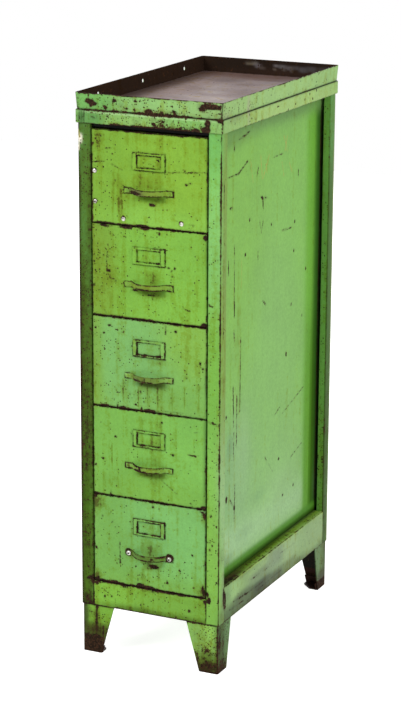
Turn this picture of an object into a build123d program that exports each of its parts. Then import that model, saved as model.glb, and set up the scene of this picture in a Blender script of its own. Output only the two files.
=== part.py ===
"""Tall narrow steel drawer cabinet: five drawers in a folded frame on four tapered legs,
with an open tray for a top. Millimetres. +Z is up, +X runs right along the drawer fronts
and +Y runs into the depth. The floor is z = 0 and the origin is under the middle."""
from build123d import *
import math
import os

# ---- driving dimensions ------------------------------------------------------------
body_width = 311.0            # over the outer faces of the corner posts
body_depth = 580.0
carcass_bottom = 105.0        # underside of posts and rails
carcass_height = 1030.0       # posts, from the underside to the tray

post_sheet = 2.0
post_flange = 28.0            # the width of post seen from the front and from the side
post_return = 15.0            # fold from the side flange into the cabinet
jamb_lip = 8.0                # depth of the lip beside the drawer fronts
post_bend = 2.0               # bend radius at the middle of the sheet

panel_sheet = 1.2
panel_recess = 22.0           # side panels lie this far inside the posts' faces
panel_flange = 16.5           # fold of a side panel behind the posts
panel_bend = 1.5

rail_sheet = 2.0
rail_seam = 0.5               # open line between a rail and the posts
front_rail_height = 54.2
side_rail_height = 75.0
front_rail_return = 12.0
rail_lower_return = 20.0

header_sheet = 1.5
front_header_height = 35.6
header_return = 20.0
rear_header_height = 30.0

pan_floor_rise = 13.0         # bottom pan above the underside of the rails
pan_flange = 12.0
pan_corner = 10.0             # clipped corner that clears a leg's fold

leg_sheet = 3.0
leg_bend = 3.0
leg_top_width = 71.0          # front flange where the leg leaves the rails
leg_foot_width = 41.5
leg_top_depth = 63.5          # side flange where the leg leaves the rails
leg_foot_depth = 43.0
foot_height = 16.0
foot_sheet = 3.0
foot_lug = 1.5                # the foot stands past the leg's edges by this much

band_height = 27.0
band_overhang = 4.0           # the band stands this far outside the posts
band_sheet = 1.5
band_corner = 3.0
band_seam = 0.5
band_front_seam = 11.1        # front joint, from the left post's face
band_rear_seam = 3.0          # right joint, from the rear posts' face

tray_height = 33.0
tray_sheet = 1.5
tray_inset = 2.5              # ledge of band left outside the tray's foot
tray_flare = 3.0              # how far each wall leans out over its height
tray_corner = 3.0
tray_hole_radius = 3.9
tray_hole_pitch = 198.5
tray_hole_rise = 17.0         # above the tray's underside

drawer_count = 5
drawer_seam = 2.2             # open line above, below and beside each front
front_sheet = 1.5
front_depth = 14.0            # fold of the drawer front's edges
front_edge_radius = 1.6
box_sheet = 1.2
box_floor_rise = 8.0
box_top_drop = 27.4           # sides end this far below the top of the front
box_hem = 6.0
box_rear_gap = 12.0
box_corner = 2.0

runner_sheet = 1.5
runner_height = 18.0
runner_rise = 30.0            # above the bottom of the drawer's front
runner_lip_gap = 1.5          # between the slide's web and the runner's lips
runner_bend = 1.4
slide_sheet = 1.5
slide_width = 8.3             # how far a slide stands out from the drawer's side
slide_clearance = 0.35
slide_side_gap = 1.2          # between a drawer's slide and the jamb
closing_gap = 0.6

drawer_travel = 410.0
stop_sheet = 2.0
stop_height = 20.0
stop_fixing = 12.0
stop_clearance = 0.5

label_width = 71.0
label_height = 35.0
label_window_width = 52.0
label_window_height = 25.0
label_depth = 3.0
label_corner = 2.5
label_card_gap = 1.2
label_card_margin = 3.0
label_rise = 130.5            # label middle above the seam under the drawer
label_bead = 1.8

pull_width = 107.0
pull_height = 12.0
pull_strap = 2.0
pull_tab = 15.5
pull_projection = 21.0
pull_root_radius = 5.0
pull_rise = 71.5              # pull middle above the seam under the drawer
pull_corner = 1.0

rivet_shank = 2.4
rivet_head = 3.6
rivet_head_height = 0.9
rivet_tail_height = 1.2
screw_shank = 2.4
screw_head = 4.9
screw_head_height = 2.6
screw_tail = 6.0
recess_radius = 1.3
recess_depth = 1.2
nut_radius = 4.6
nut_height = 3.0
stud_head = 4.1
stud_head_height = 1.5
stud_shank = 1.6
fastener_clearance = 0.05
# four small bright fasteners in the top drawer's front: the side edge that each is measured
# from, how far in from it, and how far above the seam under the drawer
stud_places = (("left", 6.3, 104.3), ("left", 7.3, 43.3), ("left", 69.3, 13.3), ("right", 54.8, 14.3))

# ---- sizes that follow -------------------------------------------------------------
tray_overhang = band_overhang - tray_inset + tray_flare
centre_y = (pull_projection - tray_overhang) / 2
half_width = body_width / 2
front_y = centre_y - body_depth / 2
rear_y = centre_y + body_depth / 2
carcass_top = carcass_bottom + carcass_height
opening_half = half_width - post_flange
panel_outer = half_width - panel_recess
panel_inner = panel_outer - panel_sheet
front_rail_top = carcass_bottom + front_rail_height
side_rail_top = carcass_bottom + side_rail_height
leg_top = front_rail_top - rail_sheet - post_bend
panel_bottom = leg_top + rail_seam
back_panel_rear = rear_y - post_sheet
back_panel_front = back_panel_rear - panel_sheet

front_half = opening_half - drawer_seam
stack_bottom = front_rail_top + drawer_seam
header_bottom = carcass_top - front_header_height
drawer_pitch = (header_bottom - stack_bottom) / drawer_count
front_height = drawer_pitch - drawer_seam
liner_front = front_y + front_depth
liner_back = liner_front + box_sheet
box_rear = back_panel_front - box_rear_gap
runner_front = liner_back + closing_gap
slide_tip = opening_half - slide_side_gap
box_half_width = slide_tip - slide_width
runner_tip = box_half_width + slide_sheet + runner_lip_gap
slide_height = runner_height - 2 * runner_sheet - 2 * slide_clearance
box_top_rise = front_height - box_top_drop
stop_back = box_rear - stop_sheet - stop_clearance - drawer_travel
pull_hole_x = pull_width / 2 - pull_tab / 2
label_front = front_y - label_depth

SIDES = {"left": -1, "right": 1}
ENDS = {"front": 1, "rear": -1}


# ---- building blocks ---------------------------------------------------------------
def block(x_limits, y_limits, z_limits):
    """A box between two limits on each axis."""
    spans = [sorted(limits) for limits in (x_limits, y_limits, z_limits)]
    middle = [(low + high) / 2 for low, high in spans]
    return Pos(*middle) * Box(*[high - low for low, high in spans])


def folded(run, points, sheet, bend, start, end):
    """Sheet folded along the run axis. The points are the middle of the sheet, given on
    the other two axes in X, Y, Z order."""
    planes = {
        "X": Plane((start, 0, 0), x_dir=(0, 1, 0), z_dir=(1, 0, 0)),
        "Y": Plane((0, start, 0), x_dir=(1, 0, 0), z_dir=(0, -1, 0)),
        "Z": Plane((0, 0, start), x_dir=(1, 0, 0), z_dir=(0, 0, 1)),
    }
    along = {"X": (1, 0, 0), "Y": (0, 1, 0), "Z": (0, 0, 1)}
    section = planes[run] * trace(FilletPolyline(*points, radius=bend), line_width=sheet)
    return extrude(section, amount=end - start, dir=along[run])


def peg(radius, x, z, y_limits):
    """A round bar along Y."""
    low, high = sorted(y_limits)
    return Pos(x, (low + high) / 2, z) * Rot(90, 0, 0) * Cylinder(radius, high - low)


def dome(radius, height, x, z, y_base):
    """A shallow round head on a surface at y_base, bulging towards -Y."""
    ball = (radius * radius + height * height) / (2 * height)
    sphere = Pos(x, y_base - height + ball, z) * Sphere(ball)
    return sphere & block((x - ball, x + ball), (y_base, y_base - 2 * height), (z - ball, z + ball))


def corner_points(side, end, places):
    """Turns places measured inwards from a corner of the body into x and y."""
    end_y = front_y if end > 0 else rear_y
    return [(side * (half_width - across), end_y + end * deep) for across, deep in places]


def upright_edges(part, x, y):
    """The vertical edges of a part at one place in the plan."""
    found = []
    for edge in part.edges().filter_by(Axis.Z):
        middle = edge.center()
        if math.hypot(middle.X - x, middle.Y - y) < post_sheet / 10:
            found.append(edge)
    return found


# ---- frame -------------------------------------------------------------------------
def post(side, end):
    """Folded corner post. Its returns stop above the leg, which slides up inside it."""
    middle = post_sheet / 2
    edge = post_flange - middle
    places = [(post_return, edge), (middle, edge), (middle, middle), (edge, middle)]
    if end > 0:
        places.append((edge, jamb_lip))
    upper = folded("Z", corner_points(side, end, places), post_sheet, post_bend, panel_bottom, carcass_top)
    plain = [(middle, post_flange), (middle, middle), (post_flange, middle)]
    lower = folded("Z", corner_points(side, end, plain), post_sheet, post_bend, carcass_bottom, panel_bottom)
    return upper + lower


def side_panel(side):
    """Recessed side sheet with a flange folded out behind the post at each end."""
    web = side * (panel_inner + panel_sheet / 2)
    tip = side * (panel_inner + panel_flange)
    first = front_y + post_sheet + panel_sheet / 2
    last = rear_y - post_sheet - panel_sheet / 2
    points = [(tip, first), (web, first), (web, last), (tip, last)]
    return folded("Z", points, panel_sheet, panel_bend, panel_bottom, carcass_top)


def back_panel():
    return block(
        (-panel_inner, panel_inner), (back_panel_front, back_panel_rear), (panel_bottom, carcass_top)
    )


def front_rail():
    """Rail under the drawers. Its lower return lies between the legs."""
    half = opening_half - rail_seam
    middle = rail_sheet / 2
    points = [
        (front_y + front_rail_return, front_rail_top - middle),
        (front_y + middle, front_rail_top - middle),
        (front_y + middle, carcass_bottom),
    ]
    rail = folded("X", points, rail_sheet, post_bend, -half, half)
    clear = half_width - post_sheet - leg_top_width - rail_seam
    floor = (carcass_bottom, carcass_bottom + rail_sheet)
    return rail + block((-clear, clear), (front_y, front_y + rail_lower_return), floor)


def rear_rail():
    half = opening_half - rail_seam
    web = block((-half, half), (rear_y - rail_sheet, rear_y), (carcass_bottom, side_rail_top))
    clear = half_width - post_sheet - leg_top_width - rail_seam
    floor = (carcass_bottom, carcass_bottom + rail_sheet)
    return web + block((-clear, clear), (rear_y - rail_lower_return, rear_y), floor)


def side_rail(side):
    """Rail between the posts' side flanges, with a ledge running in to the side panel."""
    middle = rail_sheet / 2
    web = side * (half_width - middle)
    points = [
        (side * panel_outer, side_rail_top - middle),
        (web, side_rail_top - middle),
        (web, carcass_bottom),
    ]
    start = front_y + post_flange + rail_seam
    end = rear_y - post_flange - rail_seam
    rail = folded("Y", points, rail_sheet, post_bend, start, end)
    clear = post_sheet + leg_top_depth + rail_seam
    outer = side * half_width
    floor = (carcass_bottom, carcass_bottom + rail_sheet)
    return rail + block(
        (outer, outer - side * rail_lower_return), (front_y + clear, rear_y - clear), floor
    )


def front_header():
    """Recessed channel above the top drawer, from side panel to side panel."""
    middle = header_sheet / 2
    web = front_y + jamb_lip + middle
    low = header_bottom + middle
    points = [
        (front_y + jamb_lip + header_return, low),
        (web, low),
        (web, carcass_top - middle),
        (front_y + jamb_lip + header_return, carcass_top - middle),
    ]
    return folded("X", points, header_sheet, panel_bend, -panel_inner, panel_inner)


def rear_header():
    middle = header_sheet / 2
    web = back_panel_front - middle
    low = carcass_top - rear_header_height + middle
    points = [
        (back_panel_front - header_return, low),
        (web, low),
        (web, carcass_top - middle),
        (back_panel_front - header_return, carcass_top - middle),
    ]
    return folded("X", points, header_sheet, panel_bend, -panel_inner, panel_inner)


def bottom_pan():
    """Shallow pan held between the legs, its flanges turned up against them."""
    clear = post_sheet + leg_sheet
    half = half_width - clear
    y_limits = (front_y + clear, rear_y - clear)
    base = carcass_bottom + pan_floor_rise
    pan = block((-half, half), y_limits, (base, base + pan_flange))
    inner = half - panel_sheet
    inner_y = (y_limits[0] + panel_sheet, y_limits[1] - panel_sheet)
    pan -= block((-inner, inner), inner_y, (base + panel_sheet, base + 2 * pan_flange))
    for x in (-half, half):
        for y in y_limits:
            corner_x = (x - pan_corner, x + pan_corner)
            corner_y = (y - pan_corner, y + pan_corner)
            pan -= block(corner_x, corner_y, (base - pan_flange, base + 2 * pan_flange))
    return pan


# ---- legs and feet -----------------------------------------------------------------
def leg_width_at(height, foot_width, top_width):
    """Width of one tapered leg flange at a height above the floor."""
    return foot_width + (top_width - foot_width) * min(height / carcass_bottom, 1.0)


def tapered_angle(side, end, inset, width_outline, depth_outline, sheet, bend):
    """Angle with tapered flanges. Outlines run from its outer corner: across, then up."""
    corner_x, corner_y = corner_points(side, end, [(inset, inset)])[0]
    inward_x = (-side, 0, 0)
    inward_y = (0, end, 0)
    width_plane = Plane((corner_x, corner_y, 0), x_dir=inward_x, z_dir=(0, side, 0))
    depth_plane = Plane((corner_x, corner_y, 0), x_dir=inward_y, z_dir=(end, 0, 0))
    angle = extrude(width_plane * Polygon(*width_outline, align=None), amount=sheet, dir=inward_y)
    angle += extrude(depth_plane * Polygon(*depth_outline, align=None), amount=sheet, dir=inward_x)
    return fillet(upright_edges(angle, corner_x, corner_y), bend)


def leg(side, end):
    """Tapered folded leg. It runs up inside the post, behind the rails."""

    def outline(foot_width, top_width):
        return [
            (0, 0), (foot_width, 0), (top_width, carcass_bottom), (top_width, leg_top), (0, leg_top)
        ]

    shell = tapered_angle(
        side,
        end,
        post_sheet,
        outline(leg_foot_width, leg_top_width),
        outline(leg_foot_depth, leg_top_depth),
        leg_sheet,
        leg_bend,
    )
    inner = post_sheet + leg_sheet
    inner_corner = corner_points(side, end, [(inner, inner)])[0]
    return fillet(upright_edges(shell, *inner_corner), leg_bend / 2)


def foot(side, end):
    """Angle inside the lower end of a leg, closed by a sole level with the leg's end."""
    start = post_sheet + leg_sheet

    def outline(foot_width, top_width):
        low = foot_width + foot_lug - leg_sheet
        high = leg_width_at(foot_height, foot_width, top_width) + foot_lug - leg_sheet
        return [(0, 0), (low, 0), (high, foot_height), (0, foot_height)]

    shell = tapered_angle(
        side,
        end,
        start,
        outline(leg_foot_width, leg_top_width),
        outline(leg_foot_depth, leg_top_depth),
        foot_sheet,
        leg_bend / 2,
    )
    reach_x = post_sheet + leg_foot_width
    reach_y = post_sheet + leg_foot_depth
    near = corner_points(side, end, [(start + foot_sheet / 2, start + foot_sheet / 2)])[0]
    far = corner_points(side, end, [(reach_x, reach_y)])[0]
    sole = block((near[0], far[0]), (near[1], far[1]), (0, foot_sheet))
    sole = chamfer(upright_edges(sole, *far), min(leg_foot_width, leg_foot_depth) / 2)
    return shell + sole


# ---- band and tray -----------------------------------------------------------------
def band_ring():
    """Channel round the top of the posts, its two returns resting on their faces."""
    low = carcass_top - band_height
    outer_x = half_width + band_overhang
    outer_front = front_y - band_overhang
    outer_rear = rear_y + band_overhang
    ring = block((-outer_x, outer_x), (outer_front, outer_rear), (low, carcass_top))
    ring = fillet(ring.edges().filter_by(Axis.Z), band_corner)
    ring -= block((-half_width, half_width), (front_y, rear_y), (low, carcass_top))
    hollow_x = outer_x - band_sheet
    hollow_y = (outer_front + band_sheet, outer_rear - band_sheet)
    hollow_z = (low + band_sheet, carcass_top - band_sheet)
    hollow = block((-hollow_x, hollow_x), hollow_y, hollow_z)
    return ring - hollow


def band_region(gap):
    """The half of the band that covers the front and the right side, less a gap."""
    reach = band_overhang + band_sheet
    x_seam = -half_width + band_front_seam + gap
    y_seam = rear_y - band_rear_seam - gap
    z_limits = (carcass_top - 2 * band_height, carcass_top + band_height)
    region = block((x_seam, half_width + reach), (front_y - reach, front_y + reach), z_limits)
    return region + block(
        (half_width - reach, half_width + reach), (front_y - reach, y_seam), z_limits
    )


def tray():
    """Open tray with walls leaning out and a row of holes through the left wall."""
    slope = math.degrees(math.atan2(tray_flare, tray_height))
    width = body_width + 2 * (band_overhang - tray_inset)
    depth = body_depth + 2 * (band_overhang - tray_inset)
    outer = extrude(RectangleRounded(width, depth, tray_corner), amount=tray_height, taper=-slope)
    lean = tray_flare * tray_sheet / tray_height
    wall = tray_sheet / math.cos(math.radians(slope))
    inner_width = width + 2 * (lean - wall)
    inner_depth = depth + 2 * (lean - wall)
    inner_corner = max(tray_corner - tray_sheet, tray_sheet / 3)
    inner = extrude(
        RectangleRounded(inner_width, inner_depth, inner_corner),
        amount=tray_height,
        taper=-slope,
    )
    pan = Pos(0, centre_y, carcass_top) * (outer - Pos(0, 0, tray_sheet) * inner)
    for step in (-1, 0, 1):
        place = (-width / 2, centre_y + step * tray_hole_pitch, carcass_top + tray_hole_rise)
        pan -= Pos(*place) * Rot(0, 90, 0) * Cylinder(tray_hole_radius, 4 * tray_overhang)
    return pan


# ---- runners and stops -------------------------------------------------------------
def drawer_base(number):
    """Height of the lower edge of a drawer's front. Drawer 1 is the top one."""
    return stack_bottom + (drawer_count - number) * drawer_pitch


def runner(side, number):
    """Channel on a side panel, open towards the drawer."""
    middle = runner_sheet / 2
    low = drawer_base(number) + runner_rise
    web = side * (panel_inner - middle)
    tip = side * runner_tip
    points = [
        (tip, low + middle),
        (web, low + middle),
        (web, low + runner_height - middle),
        (tip, low + runner_height - middle),
    ]
    return folded("Y", points, runner_sheet, runner_bend, runner_front, back_panel_front)


def slide(side, number):
    """Channel on the drawer's side, nested in the runner with a sliding clearance."""
    middle = slide_sheet / 2
    low = drawer_base(number) + runner_rise + runner_sheet + slide_clearance
    web = side * (box_half_width + middle)
    tip = side * slide_tip
    points = [
        (tip, low + middle),
        (web, low + middle),
        (web, low + slide_height - middle),
        (tip, low + slide_height - middle),
    ]
    return folded("Y", points, slide_sheet, runner_bend, liner_back, box_rear)


def stop(side, number):
    """Angle tab on a side panel that catches the drawer's ear at full travel."""
    middle = stop_sheet / 2
    web = side * (panel_inner - middle)
    points = [
        (web, stop_back - stop_fixing),
        (web, stop_back - middle),
        (side * runner_tip, stop_back - middle),
    ]
    top = drawer_base(number) + box_top_rise
    return folded("Z", points, stop_sheet, runner_bend, top - stop_height, top)


# ---- drawers -----------------------------------------------------------------------
def fastener_places(number):
    """Middles of the pull's two fasteners."""
    z = drawer_base(number) - drawer_seam / 2 + pull_rise
    return [(-pull_hole_x, z), (pull_hole_x, z)]


def stud_spots():
    """Middles of the small fasteners in the top drawer's front."""
    seam = drawer_base(1) - drawer_seam / 2
    spots = []
    for side_name, inset, rise in stud_places:
        spots.append((SIDES[side_name] * (front_half - inset), seam + rise))
    return spots


def drawer_front(number):
    """Drawer front with all four edges folded back."""
    low = drawer_base(number)
    high = low + front_height
    shell = block((-front_half, front_half), (front_y, liner_front), (low, high))
    rim = shell.faces().sort_by(Axis.Y)[0].edges()
    shell = fillet(rim, front_edge_radius)
    inner = front_half - front_sheet
    inner_y = (front_y + front_sheet, liner_front)
    shell -= block((-inner, inner), inner_y, (low + front_sheet, high - front_sheet))
    through = (front_y - front_sheet, front_y + 2 * front_sheet)
    shank = (screw_shank if number == drawer_count else rivet_shank) + fastener_clearance
    for x, z in fastener_places(number):
        shell -= peg(shank, x, z, through)
    if number == 1:
        for x, z in stud_spots():
            shell -= peg(stud_shank + fastener_clearance, x, z, through)
    return shell


def drawer_box(number):
    """Open box behind the front. Its front wall closes the back of the folded front."""
    base = drawer_base(number)
    low = base + box_floor_rise
    high = base + box_top_rise
    box = block((-box_half_width, box_half_width), (liner_front, box_rear), (low, high))
    rear_edges = []
    for x in (-box_half_width, box_half_width):
        rear_edges += upright_edges(box, x, box_rear)
    box = fillet(rear_edges, box_corner)
    inner = box_half_width - box_sheet
    inner_y = (liner_back, box_rear - box_sheet)
    box -= block((-inner, inner), inner_y, (low + box_sheet, high - box_sheet))
    mouth = box_half_width - box_hem
    box -= block((-mouth, mouth), (liner_back, box_rear - box_hem), (low + box_sheet, 2 * high))
    box += block((-front_half, front_half), (liner_front, liner_back), (base, base + front_height))
    for side in SIDES.values():
        ear_x = (side * (box_half_width - box_hem), side * slide_tip)
        box += block(ear_x, (box_rear - stop_sheet, box_rear), (high - stop_height, high))
    return box


def label_holder(number):
    """Raised card frame, open at the top, with a bead along its lower edge."""
    z = drawer_base(number) - drawer_seam / 2 + label_rise
    half = label_width / 2
    bottom = z - label_height / 2
    frame = block((-half, half), (label_front, front_y), (bottom, z + label_height / 2))
    frame = fillet(frame.edges().filter_by(Axis.Y), label_corner)
    face = frame.faces().sort_by(Axis.Y)[0]
    frame = fillet(face.edges(), label_corner / 3)
    window = label_window_width / 2
    window_z = (z - label_window_height / 2, z + label_window_height / 2)
    frame -= block((-window, window), (label_front, front_y), window_z)
    pocket = half - label_card_margin
    pocket_y = (front_y - label_card_gap, front_y)
    frame -= block((-pocket, pocket), pocket_y, (bottom + label_card_margin, z + label_height))
    bead_z = (bottom + window_z[0]) / 2
    bead = Pos(0, label_front, bead_z) * Rot(0, 90, 0) * Cylinder(label_bead, 2 * window)
    return frame + (bead - block((-half, half), (label_front, front_y), (bottom, z)))


def strap_path():
    """Middle of the pull's strap in plan: tab, root bend, bow, root bend, tab."""
    flat = front_y - pull_strap / 2
    rise = pull_projection - pull_strap
    half = pull_width / 2
    tab_end = half - pull_tab
    radii = (tab_end**2 + rise**2) / (2 * rise)
    bow = radii - pull_root_radius
    bow_y = flat - rise + bow
    turn = math.asin(tab_end / radii)

    def root_point(angle):
        across = tab_end - pull_root_radius * math.sin(angle)
        return across, flat - pull_root_radius + pull_root_radius * math.cos(angle)

    touch = (bow * math.sin(turn), bow_y - bow * math.cos(turn))
    path = ThreePointArc((-touch[0], touch[1]), (0, flat - rise), touch)
    for sign in SIDES.values():
        start, middle, end = [
            (sign * point[0], point[1]) for point in ((tab_end, flat), root_point(turn / 2), touch)
        ]
        path += Line((sign * half, flat), start)
        path += ThreePointArc(start, middle, end)
    return path


def pull(number):
    """Flat strap bent into a bow. The bottom drawer's has round ends."""
    z = drawer_base(number) - drawer_seam / 2 + pull_rise
    bar = extrude(trace(strap_path(), line_width=pull_strap), amount=pull_height, dir=(0, 0, 1))
    bar = Pos(0, 0, z - pull_height / 2) * bar
    corner = pull_height / 2 - pull_corner / 10 if number == drawer_count else pull_corner
    outline = Rot(90, 0, 0) * extrude(
        RectangleRounded(pull_width, pull_height, corner), amount=2 * pull_projection, both=True
    )
    bar &= Pos(0, front_y, z) * outline
    shank = (screw_shank if number == drawer_count else rivet_shank) + fastener_clearance
    for x, _ in fastener_places(number):
        bar -= peg(shank, x, z, (front_y - 2 * pull_strap, front_y + pull_strap))
    return bar


def rivet(x, z):
    """Pull rivet: a low head outside the tab, a shank and a tail inside the front."""
    outer = front_y - pull_strap
    inner = front_y + front_sheet
    head = dome(rivet_head, rivet_head_height, x, z, outer)
    shank = peg(rivet_shank, x, z, (outer, inner))
    return head + shank + peg(rivet_head, x, z, (inner, inner + rivet_tail_height))


def screw(x, z):
    """Pan-head screw with a round driver recess."""
    outer = front_y - pull_strap
    tip = front_y + front_sheet + screw_tail
    head = dome(screw_head, screw_head_height, x, z, outer)
    head -= peg(recess_radius, x, z, (outer - 2 * screw_head_height, outer - recess_depth))
    return head + peg(screw_shank, x, z, (outer, tip))


def nut(x, z):
    inner = front_y + front_sheet
    hexagon = Rot(90, 0, 0) * extrude(RegularPolygon(nut_radius, 6), amount=nut_height / 2, both=True)
    bored = Pos(x, inner + nut_height / 2, z) * hexagon
    return bored - peg(screw_shank + fastener_clearance, x, z, (inner - nut_height, inner + 2 * nut_height))


def stud(x, z):
    """Small bright domed fastener in the top drawer's front."""
    inner = front_y + front_sheet
    head = dome(stud_head, stud_head_height, x, z, front_y)
    shank = peg(stud_shank, x, z, (front_y, inner))
    return head + shank + peg(2 * stud_shank, x, z, (inner, inner + stud_head_height))


# ---- the nodes ---------------------------------------------------------------------
nodes = {
    "back_panel": back_panel(),
    "front_rail": front_rail(),
    "rear_rail": rear_rail(),
    "front_header": front_header(),
    "rear_header": rear_header(),
    "bottom_pan": bottom_pan(),
    "tray_top": tray(),
}
for side_name, side in SIDES.items():
    nodes[f"side_panel_{side_name}"] = side_panel(side)
    nodes[f"side_rail_{side_name}"] = side_rail(side)
    for end_name, end in ENDS.items():
        nodes[f"post_{end_name}_{side_name}"] = post(side, end)
        nodes[f"leg_{end_name}_{side_name}"] = leg(side, end)

nodes["feet"] = [foot(side, end) for side in SIDES.values() for end in ENDS.values()]

ring = band_ring()
nodes["band_front_right"] = ring & band_region(band_seam / 2)
nodes["band_rear_left"] = ring - band_region(-band_seam / 2)

numbers = range(1, drawer_count + 1)
for side_name, side in SIDES.items():
    nodes[f"runners_{side_name}"] = [runner(side, number) for number in numbers]
nodes["drawer_stops"] = [stop(side, number) for side in SIDES.values() for number in numbers]

for number in numbers:
    places = fastener_places(number)
    nodes[f"drawer_front_{number}"] = drawer_front(number)
    nodes[f"drawer_box_{number}"] = drawer_box(number)
    nodes[f"drawer_slides_{number}"] = [slide(side, number) for side in SIDES.values()]
    nodes[f"label_holder_{number}"] = label_holder(number)
    nodes[f"pull_{number}"] = pull(number)
    if number == drawer_count:
        nodes[f"pull_screws_{number}"] = [screw(*place) for place in places]
        nodes[f"pull_nuts_{number}"] = [nut(*place) for place in places]
    else:
        nodes[f"pull_rivets_{number}"] = [rivet(*place) for place in places]
nodes["front_studs_1"] = [stud(*place) for place in stud_spots()]

os.makedirs("parts", exist_ok=True)
for name, shape in nodes.items():
    pieces = shape if isinstance(shape, list) else [shape]
    solids = [solid for piece in pieces for solid in piece.solids()]
    whole = solids[0] if len(solids) == 1 else Compound(children=solids)
    export_step(whole, f"parts/{name}.step")
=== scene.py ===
import bpy
import bmesh
import numpy as np
from math import atan2, cos, hypot, pi, radians, sin, tan
from mathutils import Matrix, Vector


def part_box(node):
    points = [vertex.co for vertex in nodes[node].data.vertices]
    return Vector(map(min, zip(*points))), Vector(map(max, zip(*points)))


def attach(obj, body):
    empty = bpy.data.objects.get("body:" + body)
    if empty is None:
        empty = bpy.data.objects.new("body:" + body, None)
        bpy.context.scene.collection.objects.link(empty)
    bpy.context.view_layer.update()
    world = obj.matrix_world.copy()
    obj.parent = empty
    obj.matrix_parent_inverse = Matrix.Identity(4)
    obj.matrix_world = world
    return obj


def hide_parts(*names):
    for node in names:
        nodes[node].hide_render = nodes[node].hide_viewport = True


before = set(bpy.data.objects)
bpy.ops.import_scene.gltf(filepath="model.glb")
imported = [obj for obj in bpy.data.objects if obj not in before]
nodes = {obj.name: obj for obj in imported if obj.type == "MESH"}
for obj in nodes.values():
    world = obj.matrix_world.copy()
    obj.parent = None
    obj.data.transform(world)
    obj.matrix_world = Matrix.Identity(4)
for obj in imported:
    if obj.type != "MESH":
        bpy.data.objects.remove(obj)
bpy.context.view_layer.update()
print("frame loaded,", len(nodes), "nodes")

# Lengths below are millimetres in the CAD frame, and go into the meshes in metres.
millimetre = 0.001
# the carcass: half its width over the posts, its front and rear faces, its underside and its top under the
# tray
half = 155.5
frontY, rearY = -281.75, 298.25
bottomZ, topZ = 105.0, 1135.0
bodySide = {"left": -1, "right": 1}


def boxOf(node):
    # lowest and highest corner of a CAD node, in millimetres
    low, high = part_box(node)
    return np.array(low) / millimetre, np.array(high) / millimetre


def linear(colour):
    # screen colour 0 to 255 to scene-linear: (c + 0.055) / 1.055 to the power 2.4
    part = np.array(colour, float) / 255
    return np.where(part > 0.04045, ((part + 0.055) / 1.055) ** 2.4, part / 12.92)


# ---- grids, rings and skins

sharpAngle = 38  # degrees
arcSteps = 7  # places round a bend, with both its ends

def spread(low, high, pitch):
    # evenly spaced values from low to high, about one pitch apart
    return np.linspace(low, high, max(2, int(round(abs(high - low) / pitch)) + 1))


def bentLine(corners, bend, pitch):
    # Straight runs sampled every pitch, and round each inner corner an arc of the bend radius about the point
    # that lies one radius to the inside of both runs. The side is the direction of travel turned a quarter
    # turn to the right.
    corners = np.array(corners, float)
    runs = np.diff(corners, axis=0)
    lengths = np.hypot(runs[:, 0], runs[:, 1])
    ways = runs / lengths[:, None]
    points, sides, start = [], [], 0.0
    for i, way in enumerate(ways):
        turn = 0.0
        if i + 1 < len(ways):
            after = ways[i + 1]
            turn = atan2(way[0] * after[1] - way[1] * after[0], way @ after)
        cut = bend * tan(abs(turn) / 2)
        along = spread(start, lengths[i] - cut, pitch)
        side = np.array([way[1], -way[0]])
        points.append(corners[i] + along[:, None] * way)
        sides.append(np.tile(side, (len(along), 1)))
        if turn:
            inside = bend * np.sign(turn)
            hub = points[-1][-1] - side * inside
            angle = np.linspace(0, turn, arcSteps)[1:-1, None]
            turned = np.cos(angle) * side + np.sin(angle) * np.array([-side[1], side[0]])
            points.append(hub + turned * inside)
            sides.append(turned)
        start = cut
    return np.concatenate(points), np.concatenate(sides)


def sheetRing(corners, sheet, bend, pitch):
    # section of folded sheet: the middle line moved half the sheet to one side, then back along the other
    # side
    line, side = bentLine(corners, bend, pitch)
    return np.concatenate([line + side * sheet / 2, (line - side * sheet / 2)[::-1]])


def alongAxis(ring, axis, stations):
    # the same ring at every station of one axis; its two numbers are the other two axes in X, Y, Z order
    grid = np.empty((len(stations), len(ring), 3))
    others = [i for i in range(3) if i != axis]
    grid[:, :, axis] = np.asarray(stations)[:, None]
    grid[:, :, others[0]] = ring[:, 0]
    grid[:, :, others[1]] = ring[:, 1]
    return grid


def outward(points, quads):
    # six times the volume is the sum over the quads of first corner . (second x third) + first . (third x
    # fourth); where it is negative every quad is turned round
    a, b, c, d = (points[quads[:, i]] for i in range(4))
    volume = (a * (np.cross(b, c) + np.cross(c, d))).sum()
    return quads[:, ::-1] if volume < 0 else quads


def ringSkin(grid, closed=False):
    # quads between neighbouring rings; the first and last ring are shut by quads from each point to its
    # opposite one
    rows, count = grid.shape[:2]
    index = np.arange(rows * count).reshape(rows, count)
    here, there = (index, np.roll(index, -1, 0)) if closed else (index[:-1], index[1:])
    quads = [np.stack([here, np.roll(here, -1, 1), np.roll(there, -1, 1), there], -1).reshape(-1, 4)]
    if not closed:
        for row, flip in ((index[0], 1), (index[-1], -1)):
            near, far = row[: count // 2], row[::-1][: count // 2]
            quads.append(np.stack([near[1:], near[:-1], far[:-1], far[1:]], -1)[:, ::flip])
    points = grid.reshape(-1, 3)
    return points, outward(points, np.concatenate(quads))


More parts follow.
